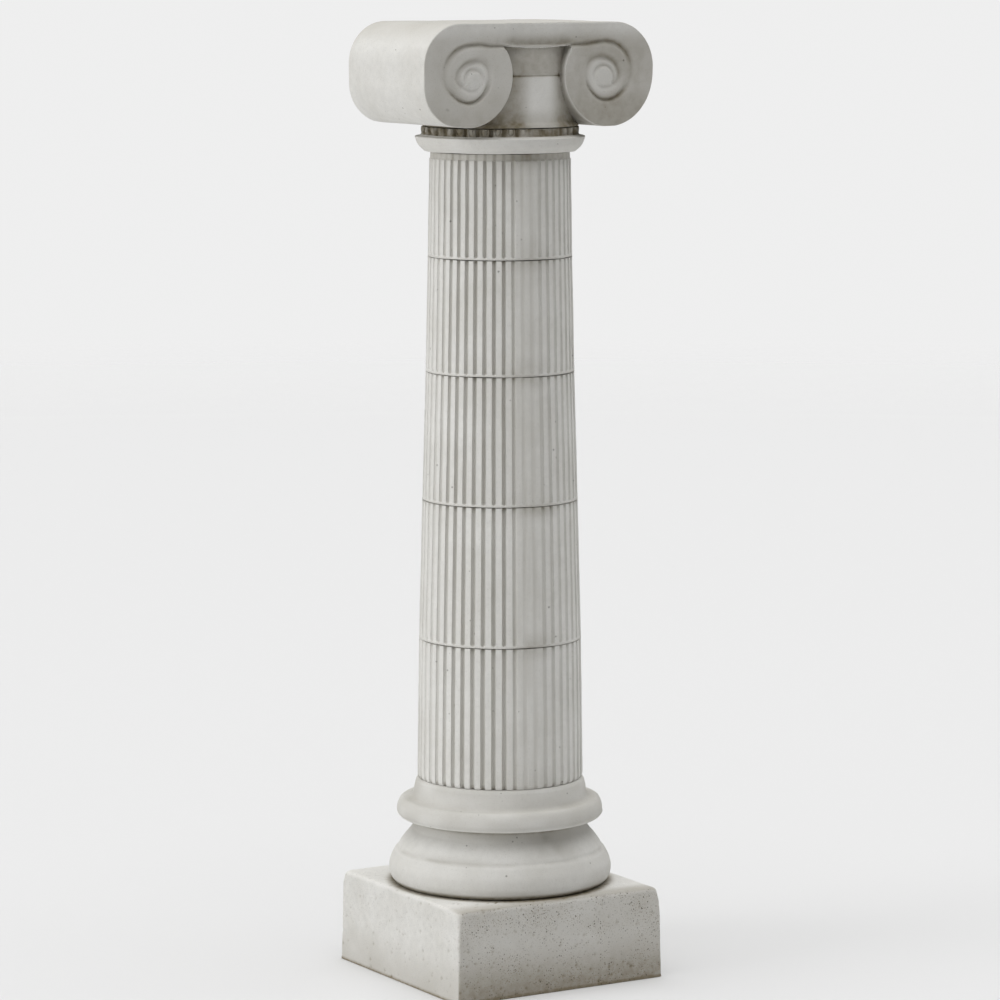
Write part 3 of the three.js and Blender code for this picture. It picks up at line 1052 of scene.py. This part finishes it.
@dataclass
class Collar:
    """The turned ring under the capital, with a band of eggs and dark slots round its top."""

    block: StoneBlock = field(default_factory=lambda: StoneBlock("collar", Slot.COLLAR))
    bottom: float = 1.559
    top: float = 1.606 - JOINT
    band: float = 0.1485
    band_foot: float = 1.5912
    band_rows: int = 24
    units: int = 38
    unit_columns: int = 20
    slot_half: float = 0.15
    slot_depth: float = 0.0095
    ground_depth: float = 0.003
    worn: Wear = field(default_factory=lambda: Wear(np.radians(1.0), np.radians(24.0), 0.5, 0.6))

    def profile(self) -> np.ndarray:
        """The half section, from the soffit over the curved face to the top of the band.

        Returns:
            Rows of radius and height.
        """
        stretches = [
            ((0.1370, self.bottom), (0.1405, self.bottom), 3),
            ((0.1420, self.bottom), (0.1432, 1.5604), 4),
            ((0.1530, 1.5680), (0.1562, 1.5755), 10),
            ((0.1588, 1.5820), (0.1597, 1.5852), 6),
            ((0.1602, 1.5872), (0.1585, 1.5881), 5),
            ((0.1530, 1.5893), (0.1502, 1.5900), 5),
            ((0.1487, 1.5904), (self.band, self.band_foot), 4),
        ]
        face = chain((0.1330, self.bottom), stretches)[:-1]
        band = np.linspace(self.band_foot, self.top, self.band_rows)
        return np.concatenate([face, np.column_stack([np.full(self.band_rows, self.band), band])])

    def carving(self, angle: np.ndarray, z: np.ndarray) -> np.ndarray:
        """Depth of the band's carving.

        Each unit holds an egg, a dome of height 1 - (distance / size)^2 to the power a half,
        inside a round-bottomed ridge, on a sunk ground, between two deep slots.

        Args:
            angle: Angle of each point.
            z: Height of each point.

        Returns:
            Depth at each point.
        """
        unit = angle * self.units / FULL_TURN
        uneven = np.random.default_rng(54).uniform(-1, 1, (4, self.units))[:, np.floor(unit).astype(int)]
        across = unit % 1.0 - 0.5 + 0.07 * uneven[0]
        up = (z - self.band_foot) / (self.top - self.band_foot)
        egg = np.hypot(across / (0.20 + 0.03 * uneven[1]), (up - 0.62) / (0.50 + 0.08 * uneven[2]))
        dome = np.sqrt(np.clip(1 - egg**2, 0, 1))
        ridge = np.exp(-(((egg - 1.45) / 0.22) ** 2))
        raised = np.maximum(self.ground_depth * dome, 0.75 * self.ground_depth * ridge)
        slot = smoothstep(0.5 - self.slot_half, 0.5 - 0.55 * self.slot_half, np.abs(across))
        slot = slot * (0.70 + 0.30 * uneven[3])
        carved = self.ground_depth - raised * (1 - slot) + slot * (self.slot_depth - self.ground_depth)
        inside = smoothstep(self.band_foot - 0.0001, self.band_foot + 0.0012, z)
        return carved * inside * (1 - self.worn.at(angle))

    def build(self) -> bpy.types.Object:
        """Turn the ring, sink the carving into its band and dress it.

        Returns:
            The collar's object.
        """
        columns = self.units * self.unit_columns
        angle = np.arange(columns)[None, :] * FULL_TURN / columns
        profile = self.profile()
        z = profile[:, 1:]
        carving = self.carving(angle, z)
        skin = barrel(around(angle, profile[:, :1] - carving, z))
        points = skin.points
        worn = 0.0004 * (1 + lumps(points, 0.05, 51)) + 0.0002 * (1 + lumps(points, 0.008, 52))
        band_rough = 0.0014 * np.clip(lumps(points, 0.006, 53), 0, None) * (points[:, 2] > self.band_foot)
        skin.sink(worn + band_rough)
        in_band = smoothstep(self.band_foot - 0.0012, self.band_foot + 0.001, z) * np.ones_like(angle)
        blotches = lumps(points[:-2], 0.012, 55).reshape(in_band.shape)
        # Painted shade with brown dirt over the band under the capital, deepest in the slots, a little over
        # the face, and a stain over the worn middle.
        grime_and_shade = in_band * (0.75 + 0.30 * smoothstep(0, 0.8 * self.slot_depth, carving) + 0.22 * blotches)
        grime_and_shade += 0.06 * (1 - in_band)
        grime_and_shade += 0.10 * self.worn.at(angle) * in_band
        grime_and_shade = np.concatenate([grime_and_shade.ravel(), [0, 0]])
        return self.block.dress(paint(skin.mesh("collar_carved"), grime_and_shade))


# Capital


@dataclass(frozen=True)
class Spiral:
    """The carved line of one scroll, by turns counted in quarters from straight above its eye.

    Attributes:
        radius: Distance from the eye, against turns outwards, down, inwards and up again.
        strength: Share of the full depth, against turns.
        width: Half width of the line, against turns.
    """

    radius: SmoothCurve
    strength: SmoothCurve = SmoothCurve((
        (-0.6, 0.8), (0.0, 1.0), (0.5, 0.9), (0.9, 0.35), (1.2, 0.45), (1.5, 0.9), (2.0, 1.0), (2.6, 0.85),
        (3.0, 0.35), (3.4, 0.6), (4.0, 1.0), (4.7, 0.8), (5.1, 0.6), (5.6, 0.5), (6.1, 0.45), (6.6, 0.2),
        (7.3, 0.5), (8.0, 0.7), (9.0, 0.5), (9.4, 0.1),
    ))
    width: SmoothCurve = SmoothCurve((
        (-0.6, 0.0045), (0.5, 0.0055), (1.0, 0.008), (1.5, 0.0045), (2.6, 0.004), (3.4, 0.008),
        (4.6, 0.0065), (5.2, 0.007), (6.0, 0.0045), (9.4, 0.004),
    ))
    first: float = -0.6
    turns: int = 3
    depth: float = 0.0050
    shoulder: float = 0.0032
    outer_fade: float = 0.012
    inner_fade: float = 0.007

    def sunk(self, across: np.ndarray, up: np.ndarray) -> np.ndarray:
        """Depth of the carving: at each line a furrow, and a slope down to it on both sides.

        The furrow is depth * exp(-(distance / width)^2) and the slopes are
        shoulder * exp(-distance / fade).

        Args:
            across: Distance from the eye, outwards positive.
            up: Distance above the eye.

        Returns:
            Depth at each point.
        """
        reach = np.hypot(across, up)
        quarter = np.arctan2(across, up) / (np.pi / 2)
        quarter = (quarter - self.first) % 4.0 + self.first
        total = np.zeros_like(reach)
        for lap in range(self.turns):
            turn = quarter + 4.0 * lap
            offset = reach - self.radius.at(turn)
            strength = self.strength.at(turn) * (turn < 9.4)
            furrow = self.depth * np.exp(-((offset / self.width.at(turn)) ** 2))
            fade = np.where(offset > 0, self.outer_fade, self.inner_fade)
            slope = self.shoulder * np.exp(-np.abs(offset) / fade)
            total += strength * furrow + (0.4 + 0.6 * strength) * slope * (turn < 9.4)
        return total


LEFT_SPIRAL = Spiral(SmoothCurve((
    (-0.6, 0.0940), (-0.4, 0.0715), (-0.2, 0.0640), (0.0, 0.0605), (0.5, 0.0615), (1.0, 0.0620),
    (1.4, 0.0510), (2.0, 0.0440), (2.5, 0.0365), (3.0, 0.0340), (3.5, 0.0370), (4.0, 0.0300),
    (4.5, 0.0295), (5.0, 0.0335), (5.5, 0.0250), (6.0, 0.0230), (7.0, 0.0200), (8.0, 0.0150), (9.4, 0.0170),
)))
RIGHT_SPIRAL = Spiral(SmoothCurve((
    (-0.6, 0.0950), (-0.4, 0.0740), (-0.2, 0.0660), (0.0, 0.0650), (0.5, 0.0665), (1.0, 0.0590),
    (1.4, 0.0505), (2.0, 0.0430), (2.5, 0.0365), (3.0, 0.0380), (3.5, 0.0405), (4.0, 0.0355),
    (4.5, 0.0350), (5.0, 0.0340), (5.5, 0.0245), (6.0, 0.0205), (7.0, 0.0205), (8.0, 0.0195), (9.4, 0.0240),
)))


@dataclass
class Capital:
    """The scrolled capital: a flat-topped band that rolls into a scroll at each end, on a bell."""

    block: StoneBlock = field(default_factory=lambda: StoneBlock("capital", Slot.CAPITAL, 40.0))
    right_reach: float = 0.2498
    left_reach: float = 0.2458
    half_depth: float = 0.1415
    bottom: float = 1.606
    top: float = 1.800
    right_shoulder: float = 0.0835
    left_shoulder: float = 0.0780
    eye: tuple[float, float] = (0.140, 1.700)
    half_span: float = 0.072
    band_end: float = 1.757
    band_sag: float = 0.004
    rim: float = 0.0030
    angles: int = 200
    seam_rows: int = 24
    inner_rows: int = 50
    outer_rows: int = 20
    inner_reach: float = 0.070
    side_rows: int = 26
    bell_columns: int = 220
    groove: float = 1.7020
    right_outline: SmoothCurve = SmoothCurve((
        (-3.0, 0.1090), (-2.5, 0.1030), (-2.0, 0.0936), (-1.5, 0.0840), (-1.0, 0.0840), (-0.5, 0.0870),
    ))
    left_outline: SmoothCurve = SmoothCurve((
        (-3.0, 0.1060), (-2.8, 0.1084), (-2.65, 0.1084), (-2.4, 0.1030), (-2.2, 0.0945), (-2.0, 0.0905),
        (-1.5, 0.0840), (-1.0, 0.0840), (-0.5, 0.0870),
    ))

    def boundary(self, side: int) -> np.ndarray:
        """The outline of one scroll as if it lay on +X, clockwise from the top of its seam.

        It runs along the flat top, round the shoulder's arc, round the scroll by its outline
        curve, and up the seam where the band begins.

        Args:
            side: 1 for the +X scroll, -1 for the other.

        Returns:
            Rows of x and z. The last seam_rows of them lie on the seam, foot first.
        """
        eye_x, eye_z = self.eye
        reach_x = self.right_reach if side > 0 else self.left_reach
        shoulder = self.right_shoulder if side > 0 else self.left_shoulder
        outline = self.right_outline if side > 0 else self.left_outline
        centre = reach_x - shoulder
        flat = np.linspace(self.half_span, centre, 34)[:-1]
        arc = np.linspace(0, np.pi / 2, 44)[:-1]
        turn = np.linspace(-3.0, self.seam_turn(), self.angles - 77)[:-1]
        reach = outline.at(turn)
        x = np.minimum(eye_x + reach * np.sin(turn * np.pi / 2), reach_x)
        z = np.maximum(eye_z + reach * np.cos(turn * np.pi / 2), self.bottom + 0.0004)
        seam = np.linspace(self.band_end, self.top, self.seam_rows + 1)[:-1]
        return np.concatenate([
            np.column_stack([flat, np.full(len(flat), self.top)]),
            np.column_stack([centre + shoulder * np.sin(arc), self.top - shoulder * (1 - np.cos(arc))]),
            np.column_stack([x, z]),
            np.column_stack([np.full(len(seam), self.half_span), seam]),
        ])

    def seam_turn(self) -> float:
        """The turn, in quarters, at which the outline reaches the foot of the seam."""
        across = self.half_span - self.eye[0]
        return float(np.arctan2(across, self.band_end - self.eye[1]) / (np.pi / 2))

    def band_foot(self, x: np.ndarray) -> np.ndarray:
        """Height of the band's lower edge, which sags a little between the scrolls."""
        return self.band_end - self.band_sag * (1 - (x / self.half_span) ** 2)

    def edge_distance(self, x: np.ndarray, z: np.ndarray) -> np.ndarray:
        """Distance from each point of the front to the nearest edge of the whole front.

        Args:
            x: Place across, of either sign.
            z: Height.

        Returns:
            Array of the same shape.
        """
        span = np.linspace(-self.half_span, self.half_span, 73)
        ends = np.concatenate([self.boundary(side)[: -self.seam_rows + 1] * (side, 1) for side in (1, -1)])
        band = np.concatenate([
            np.column_stack([span, np.full(len(span), self.top)]),
            np.column_stack([span, self.band_foot(span)]),
        ])
        curve = np.concatenate([ends, band])
        flat_x, flat_z = x.ravel(), z.ravel()
        nearest = np.full(len(flat_x), np.inf)
        for edge_x, edge_z in curve:
            nearest = np.minimum(nearest, (flat_x - edge_x) ** 2 + (flat_z - edge_z) ** 2)
        return np.sqrt(nearest).reshape(x.shape)

    def relief(self, x: np.ndarray, z: np.ndarray) -> np.ndarray:
        """Depth of the front below its plane: rounded rim, spirals, hollow band and lip.

        Args:
            x: Place across.
            z: Height.

        Returns:
            Depth at each point.
        """
        edge = np.clip(self.edge_distance(x, z), 0, self.rim)
        rim = self.rim - np.sqrt(self.rim**2 - (self.rim - edge) ** 2)
        eye_x, eye_z = self.eye
        right = RIGHT_SPIRAL.sunk(x - eye_x, z - eye_z)
        left = LEFT_SPIRAL.sunk(-x - eye_x, z - eye_z)
        scroll_only = smoothstep(0.035, 0.060, np.abs(x))
        spirals = np.where(x > 0, right, left) * scroll_only
        recess_end = self.half_span + 0.020 * smoothstep(1.757, 1.766, z)
        recess = smoothstep(1.0, 0.5, np.abs(x) / recess_end)
        hollow = 0.0085 * smoothstep(1.796, 1.7605, z) ** 1.2
        lip = 0.0042 * smoothstep(1.7612, 1.7578, z)
        band_foot = self.band_foot(np.clip(x, -self.half_span, self.half_span))
        above_foot = smoothstep(-0.001, 0.0, z - band_foot)
        return rim + spirals + recess * (hollow - lip) * above_foot

    def scroll_grid(self, side: int) -> np.ndarray:
        """Points over the face of one scroll, in rings round its eye.

        The rings are circles out to inner_reach, then blend into the outline.

        Args:
            side: 1 for the +X scroll, -1 for the other.

        Returns:
            Rings by angles by x and z, from the eye outwards.
        """
        edge = self.boundary(side)
        eye = np.array(self.eye)
        away = edge - eye
        reach = np.linalg.norm(away, axis=1)
        toward = away / reach[:, None]
        inner = np.linspace(0, self.inner_reach, self.inner_rows + 1)[1:]
        t = np.linspace(0, 1, self.outer_rows + 1)[1:]
        ease = 0.5 * t + 0.5 * np.sin(t * np.pi / 2)
        outer = self.inner_reach + (reach[None, :] - self.inner_reach) * ease[:, None]
        radii = np.concatenate([np.broadcast_to(inner[:, None], (len(inner), len(reach))), outer])
        grid = eye + radii[:, :, None] * toward
        grid[-1] = edge
        return grid * (side, 1)

    def face(self, grid: np.ndarray, back: bool) -> np.ndarray:
        """Give points of the front their depth, or mirror them onto the back.

        Args:
            grid: Points as x and z.
            back: Whether they go onto the back.

        Returns:
            The same points as x, y and z.
        """
        x, z = grid[..., 0], grid[..., 1]
        y = -self.half_depth + self.relief(x, z)
        return np.stack([x, -y if back else y, z], axis=-1)

    def flank(self, front: np.ndarray, flipped: bool) -> Skin:
        """The side surface behind an edge: straight lines from the front edge to the back one.

        Args:
            front: Points of the front edge.
            flipped: Whether the surface faces the other way.

        Returns:
            The open skin.
        """
        share = np.linspace(1, -1, self.side_rows)[:, None]
        y = front[None, :, 1] * share
        x = np.broadcast_to(front[None, :, 0], y.shape)
        z = np.broadcast_to(front[None, :, 2], y.shape)
        return patch(np.stack([x, y, z], axis=-1), flipped)

    def slab(self) -> Skin:
        """Both faces and the flanks of the band and its two scrolls, welded into one skin.

        Returns:
            The closed skin.
        """
        parts = []
        for side in (1, -1):
            grid = self.scroll_grid(side)
            rings, columns = grid.shape[:2]
            number = np.arange(rings * columns).reshape(rings, columns)
            quads = ring_faces(number)
            fan = np.stack([np.roll(number[0], -1), number[0], np.full(columns, rings * columns)], axis=-1)
            eye = np.array([[self.eye[0] * side, self.eye[1]]])
            flat = np.concatenate([grid.reshape(-1, 2), eye])
            for back in (False, True):
                turned_over = (side < 0) == back
                faces = quads if turned_over else quads[:, ::-1]
                hub = fan if turned_over else fan[:, ::-1]
                parts.append(Skin(self.face(flat, back), faces, hub))
            edge = self.face(grid[-1, : -self.seam_rows + 1], back=False)
            parts.append(self.flank(edge, flipped=side < 0))
        span = np.linspace(-self.half_span, self.half_span, 61)
        share = np.linspace(0, 1, self.seam_rows + 1)[:, None]
        foot = self.band_foot(span)
        z = foot + (self.top - foot) * share
        grid = np.stack([np.broadcast_to(span, z.shape), z], axis=-1)
        parts.append(patch(self.face(grid, back=False), flipped=False))
        parts.append(patch(self.face(grid, back=True), flipped=True))
        parts.append(self.flank(self.face(grid[-1], back=False), flipped=False))
        parts.append(self.flank(self.face(grid[0], back=False), flipped=True))
        return welded(parts)

    def bell(self) -> Skin:
        """The turned bell under the band, waisted, with a fine groove round it.

        Returns:
            Its closed skin, whose head stands inside the band.
        """
        groove = self.groove
        stretches = [
            ((0.1465, self.bottom), (0.1473, 1.6075), 4),
            ((0.1455, 1.6120), (0.1405, 1.6155), 8),
            ((0.1365, 1.6200), (0.1358, 1.6330), 12),
            ((0.1352, 1.6700), (0.1362, groove - 0.0022), 20),
            ((0.1356, groove - 0.0006), (0.1340, groove), 4),
            ((0.1352, groove + 0.0004), (0.1354, groove + 0.0020), 4),
            ((0.1350, 1.7250), (0.1342, 1.7520), 18),
            ((0.1340, 1.7560), (0.1300, 1.7585), 4),
        ]
        return barrel(turned(chain((0.1445, self.bottom), stretches), self.bell_columns))

    def chips(self) -> np.ndarray:
        """Small chips along the band's hollow and the ends of the bell's groove.

        Returns:
            Rows of x, y, z, radius and depth.
        """
        front = -self.half_depth
        return np.array([
            (-0.0065, front, 1.7745, 0.0034, 0.0022),
            (0.0415, front, 1.7755, 0.0034, 0.0022),
            (-0.0880, front, 1.7655, 0.0036, 0.0020),
            (-0.0880, front, 1.7710, 0.0026, 0.0014),
            (0.0890, front, 1.7700, 0.0030, 0.0016),
            (-0.1960, front, 1.6420, 0.0036, 0.0022),
            (-0.0517, -0.1250, 1.7030, 0.0045, 0.0040),
            (0.0540, -0.1240, 1.7030, 0.0050, 0.0030),
        ])

    def build(self) -> bpy.types.Object:
        """Weather the slab and the bell, join them and dress the block.

        Returns:
            The capital's object.
        """
        slab, bell = self.slab(), self.bell()
        chips = self.chips()
        values = self.slab_dirt_and_shade(slab), self.bell_dirt_and_shade(bell)
        for skin in (slab, bell):
            points = skin.points
            wavy = 0.0005 * (1 + lumps(points, 0.06, 61)) + 0.00014 * (1 + lumps(points, 0.012, 62))
            skin.sink(wavy + pit_depth(points, chips))
        bodies = [
            paint(skin.mesh(name), UNPAINTED + dirt_and_shade, pale_and_highlight=pale_and_highlight)
            for skin, name, (dirt_and_shade, pale_and_highlight) in zip((slab, bell), ("capital_slab", "capital_bell"), values)
        ]
        return self.block.dress(self.joined(*bodies))

    def joined(self, slab: bpy.types.Mesh, bell: bpy.types.Mesh) -> bpy.types.Mesh:
        """Union the two painted meshes with a Boolean modifier, applied to the mesh.

        Args:
            slab: The band and its scrolls.
            bell: The bell under them.

        Returns:
            One closed mesh, whose new vertices along the seam take their neighbours' dirt and painted
            shade.
        """
        body = bpy.data.objects.new("capital_slab", slab)
        tool = bpy.data.objects.new("capital_bell", bell)
        for piece in (body, tool):
            bpy.context.collection.objects.link(piece)
        union = body.modifiers.new("union", "BOOLEAN")
        union.operation = "UNION"
        union.solver = "MANIFOLD"
        union.object = tool
        shown = body.evaluated_get(bpy.context.evaluated_depsgraph_get())
        mesh = bpy.data.meshes.new_from_object(shown)
        mesh.name = "capital_carved"
        mesh.materials.clear()
        for piece in (body, tool):
            bpy.data.objects.remove(piece)
        values = mesh.attributes["grime_and_shade"].data
        dirt_and_shade = np.empty(len(mesh.vertices), dtype=np.float32)
        values.foreach_get("value", dirt_and_shade)
        ends = np.empty(2 * len(mesh.edges), dtype=np.int32)
        mesh.edges.foreach_get("vertices", ends)
        start, end = np.concatenate([ends.reshape(-1, 2), ends.reshape(-1, 2)[:, ::-1]]).T
        painted = dirt_and_shade >= UNPAINTED
        known = painted[end]
        total = np.bincount(start[known], dirt_and_shade[end[known]], len(dirt_and_shade))
        count = np.bincount(start[known], minlength=len(dirt_and_shade))
        dirt_and_shade = np.where(painted, dirt_and_shade, total / np.maximum(count, 1)) - UNPAINTED
        values.foreach_set("value", np.clip(dirt_and_shade, 0, 1).astype(np.float32))
        return mesh

    def slab_dirt_and_shade(self, slab: Skin) -> tuple[np.ndarray, np.ndarray]:
        """Dirt and painted shade in the carved lines, a darkening over the scrolls' faces, painted shade on
        the inner flanks and the top.

        Args:
            slab: The band and its scrolls, before they are weathered.

        Returns:
            Dirt with painted shade, and paleness, at each vertex.
        """
        points = slab.points
        x, y, z = points.T
        facing = slab.normals()
        eye_x, eye_z = self.eye
        from_eye = np.hypot(np.abs(x) - eye_x, z - eye_z)
        on_face = smoothstep(self.half_depth - 0.026, self.half_depth - 0.014, np.abs(y))
        on_face = on_face * smoothstep(0.1, 0.5, np.abs(facing[:, 1]))
        in_recess = smoothstep(self.half_span, 0.055, np.abs(x))
        # Painted shade with some dirt in the carved lines of the front.
        carved = on_face * smoothstep(0, 2 * self.rim, self.edge_distance(x, z)) * (1 - 0.2 * in_recess)
        carved = carved * smoothstep(0.0015, 0.0095, self.half_depth - np.abs(y))
        # The scrolls' faces are darker, more towards their foot and on the +X scroll.
        scroll = on_face * smoothstep(0.018, 0.050, from_eye) * smoothstep(1.792, 1.762, z)
        darkened = 0.24 + 0.12 * smoothstep(1.700, 1.620, z) + 0.16 * smoothstep(0, 0.1, x)
        darkened += 0.08 * lumps(points, 0.03, 73)
        # Painted shade on the inner flanks of the scrolls, beside the bell.
        inner = smoothstep(self.half_depth - 0.002, self.half_depth - 0.014, np.abs(y))
        inner = inner * smoothstep(0.2, -0.2, np.sign(x) * facing[:, 0]) * smoothstep(1.800, 1.790, z)
        # Painted shade on the upward faces near the top.
        up = smoothstep(0.3, 0.95, facing[:, 2]) * smoothstep(1.740, 1.780, z)
        eye = 0.10 * on_face * smoothstep(0.030, 0.010, from_eye) * (x > 0)
        dirt_and_shade = 0.24 * carved + scroll * darkened + 0.50 * inner + 0.24 * up + eye
        return dirt_and_shade, np.zeros(len(points))

    def bell_dirt_and_shade(self, bell: Skin) -> tuple[np.ndarray, np.ndarray]:
        """Dirt and painted shade at the groove, the foot and towards the scrolls; a painted highlight in
        the middle.

        Args:
            bell: The bell, before it is weathered.

        Returns:
            Dirt with painted shade, and the painted highlight, at each vertex.
        """
        x, y, z = bell.points.T
        patchy = lumps(bell.points, 0.03, 71)
        upper = smoothstep(1.700, 1.706, z)
        groove = np.exp(-(((z - 1.7015) / 0.0018) ** 2)) * smoothstep(-0.6, 0.4, patchy + 0.3)
        foot = smoothstep(1.650, 1.607, z)
        beside = smoothstep(0.014, 0.056, np.abs(x - 0.008))
        # Painted shade with some dirt above the groove under the band and in the groove; painted shade
        # beside the scrolls; darker at the foot.
        dirt_and_shade = upper * (0.50 + 0.08 * patchy + 0.10 * beside) + 0.4 * groove
        dirt_and_shade = dirt_and_shade + (1 - upper) * (0.06 + 0.52 * beside + 0.34 * foot + 0.05 * patchy)
        # Painted highlight: the middle of the bell below the groove is paler.
        pale_and_highlight = 0.26 * (1 - beside) * (1 - upper) * smoothstep(1.612, 1.650, z)
        return dirt_and_shade, pale_and_highlight


# Studio


@dataclass(frozen=True)
class SoftLight:
    """A broad, even light from far away.

    Attributes:
        name: Its name.
        toward: Direction from the column towards it.
        spread: Its width in degrees, seen from the column.
        strength: Watts on each square metre that faces it.
    """

    name: str
    toward: tuple[float, float, float]
    spread: float
    strength: float

    def hang(self) -> None:
        """Put the light up."""
        light = bpy.data.lights.new(self.name, "SUN")
        light.angle = np.radians(self.spread)
        light.energy = self.strength
        lamp = bpy.data.objects.new(self.name, light)
        bpy.context.collection.objects.link(lamp)
        facing = (-Vector(self.toward)).to_track_quat("-Z", "Y")
        lamp.matrix_world = facing.to_matrix().to_4x4()


@dataclass
class Studio:
    """A pale floor, soft light and the camera."""

    lights: tuple[SoftLight, ...] = (
        SoftLight("ceiling", (-0.15, 0.0, 1.0), 110.0, 1.7),
        SoftLight("overhead", (0.0, 0.0, 1.0), 70.0, 1.35),
        SoftLight("side", (-1.0, 0.15, 0.16), 40.0, 1.4),
        SoftLight("bounce", (1.0, -0.3, 0.35), 80.0, 0.46),
    )
    fill: float = 0.07
    floor_tone: float = 0.732
    focal_length: float = 158.5
    camera_distance: float = 8.240
    camera_height: float = 1.965
    camera_azimuth: float = np.radians(31.074)
    camera_tilt: float = np.radians(7.356)
    sky: tuple[float, float, float] = (0.86, 0.86, 0.86)
    floor_reach: float = 11.4

    def camera(self) -> None:
        """Place the camera by its distance, height and downward tilt."""
        lens = bpy.data.cameras.new("camera")
        lens.lens = self.focal_length
        lens.sensor_width = 36.0
        lens.clip_end = 100.0
        camera = bpy.data.objects.new("camera", lens)
        bpy.context.collection.objects.link(camera)
        camera.location = (
            -self.camera_distance * np.sin(self.camera_azimuth),
            -self.camera_distance * np.cos(self.camera_azimuth),
            self.camera_height,
        )
        camera.rotation_euler = (np.pi / 2 - self.camera_tilt, 0.0, -self.camera_azimuth)
        bpy.context.scene.camera = camera

    def floor(self) -> None:
        """A round pale floor that fades into the backdrop towards its edge."""
        rings = np.concatenate([[0.5, 1, 2, 4], np.linspace(6, self.floor_reach + 2, 9)])
        angle = np.arange(96) * FULL_TURN / 96
        grid = around(angle[None, :], rings[:, None], np.full((len(rings), 1), 0.0))
        columns = grid.shape[1]
        number = np.arange(grid.size // 3).reshape(grid.shape[:2])
        hub = np.stack([number[0], np.roll(number[0], -1), np.full(columns, grid.size // 3)], axis=-1)
        points = np.concatenate([grid.reshape(-1, 3), [[0, 0, 0]]])
        skin = Skin(points, ring_faces(number)[:, ::-1], hub)
        floor = bpy.data.objects.new("floor", skin.mesh("floor"))
        bpy.context.collection.objects.link(floor)
        made = bpy.data.materials.new("floor_paint")
        made.use_nodes = True
        tree = made.node_tree
        shader = tree.nodes["Principled BSDF"]
        shader.inputs["Base Color"].default_value = (*[self.floor_tone] * 3, 1.0)
        shader.inputs["Roughness"].default_value = 0.9
        shader.inputs["Specular IOR Level"].default_value = 0.1
        place = tree.nodes.new("ShaderNodeTexCoord").outputs["Object"]
        length = tree.nodes.new("ShaderNodeVectorMath")
        length.operation = "LENGTH"
        tree.links.new(place, length.inputs[0])
        fade = tree.nodes.new("ShaderNodeMapRange")
        fade.inputs["From Min"].default_value = self.floor_reach - 1.6
        fade.inputs["From Max"].default_value = self.floor_reach + 1.6
        fade.inputs["To Min"].default_value = 1.0
        fade.inputs["To Max"].default_value = 0.0
        tree.links.new(length.outputs["Value"], fade.inputs["Value"])
        tree.links.new(fade.outputs["Result"], shader.inputs["Alpha"])
        floor.data.materials.append(made)

    def build(self) -> None:
        """Set the backdrop's tone and put up the floor, lights and camera."""
        scene = bpy.context.scene
        scene.view_settings.view_transform = "Standard"
        world = bpy.data.worlds.new("studio")
        scene.world = world
        world.use_nodes = True
        self.backdrop(world.node_tree)
        self.floor()
        for light in self.lights:
            light.hang()
        self.camera()

    def backdrop(self, tree: bpy.types.NodeTree) -> None:
        """Show the pale backdrop behind the column, and light the column by the weaker fill.

        Args:
            tree: The world's node tree.
        """
        seen = tree.nodes["Background"]
        seen.inputs["Color"].default_value = (*self.sky, 1.0)
        fill = tree.nodes.new("ShaderNodeBackground")
        fill.inputs["Color"].default_value = (*[self.fill] * 3, 1.0)
        path = tree.nodes.new("ShaderNodeLightPath")
        mix = tree.nodes.new("ShaderNodeMixShader")
        tree.links.new(path.outputs["Is Camera Ray"], mix.inputs[0])
        tree.links.new(fill.outputs["Background"], mix.inputs[1])
        tree.links.new(seen.outputs["Background"], mix.inputs[2])
        tree.links.new(mix.outputs["Shader"], tree.nodes["World Output"].inputs["Surface"])


def main() -> None:
    """Build the column's blocks from the ground up, then the studio."""
    logging.basicConfig(level=logging.INFO, format="%(name)s: %(message)s")
    shaft = Shaft()
    pieces = [Plinth().build(), Base().build()]
    pieces += [shaft.drum(number) for number in range(1, len(shaft.joints))]
    pieces += [Collar().build(), Capital().build()]
    for piece in pieces:
        piece.data.calc_loop_triangles()
        log.info("%s: %d triangles", piece.name, len(piece.data.loop_triangles))
    Studio().build()
    log.info("studio: floor, lights and camera")


if __name__ == "__main__":
    main()
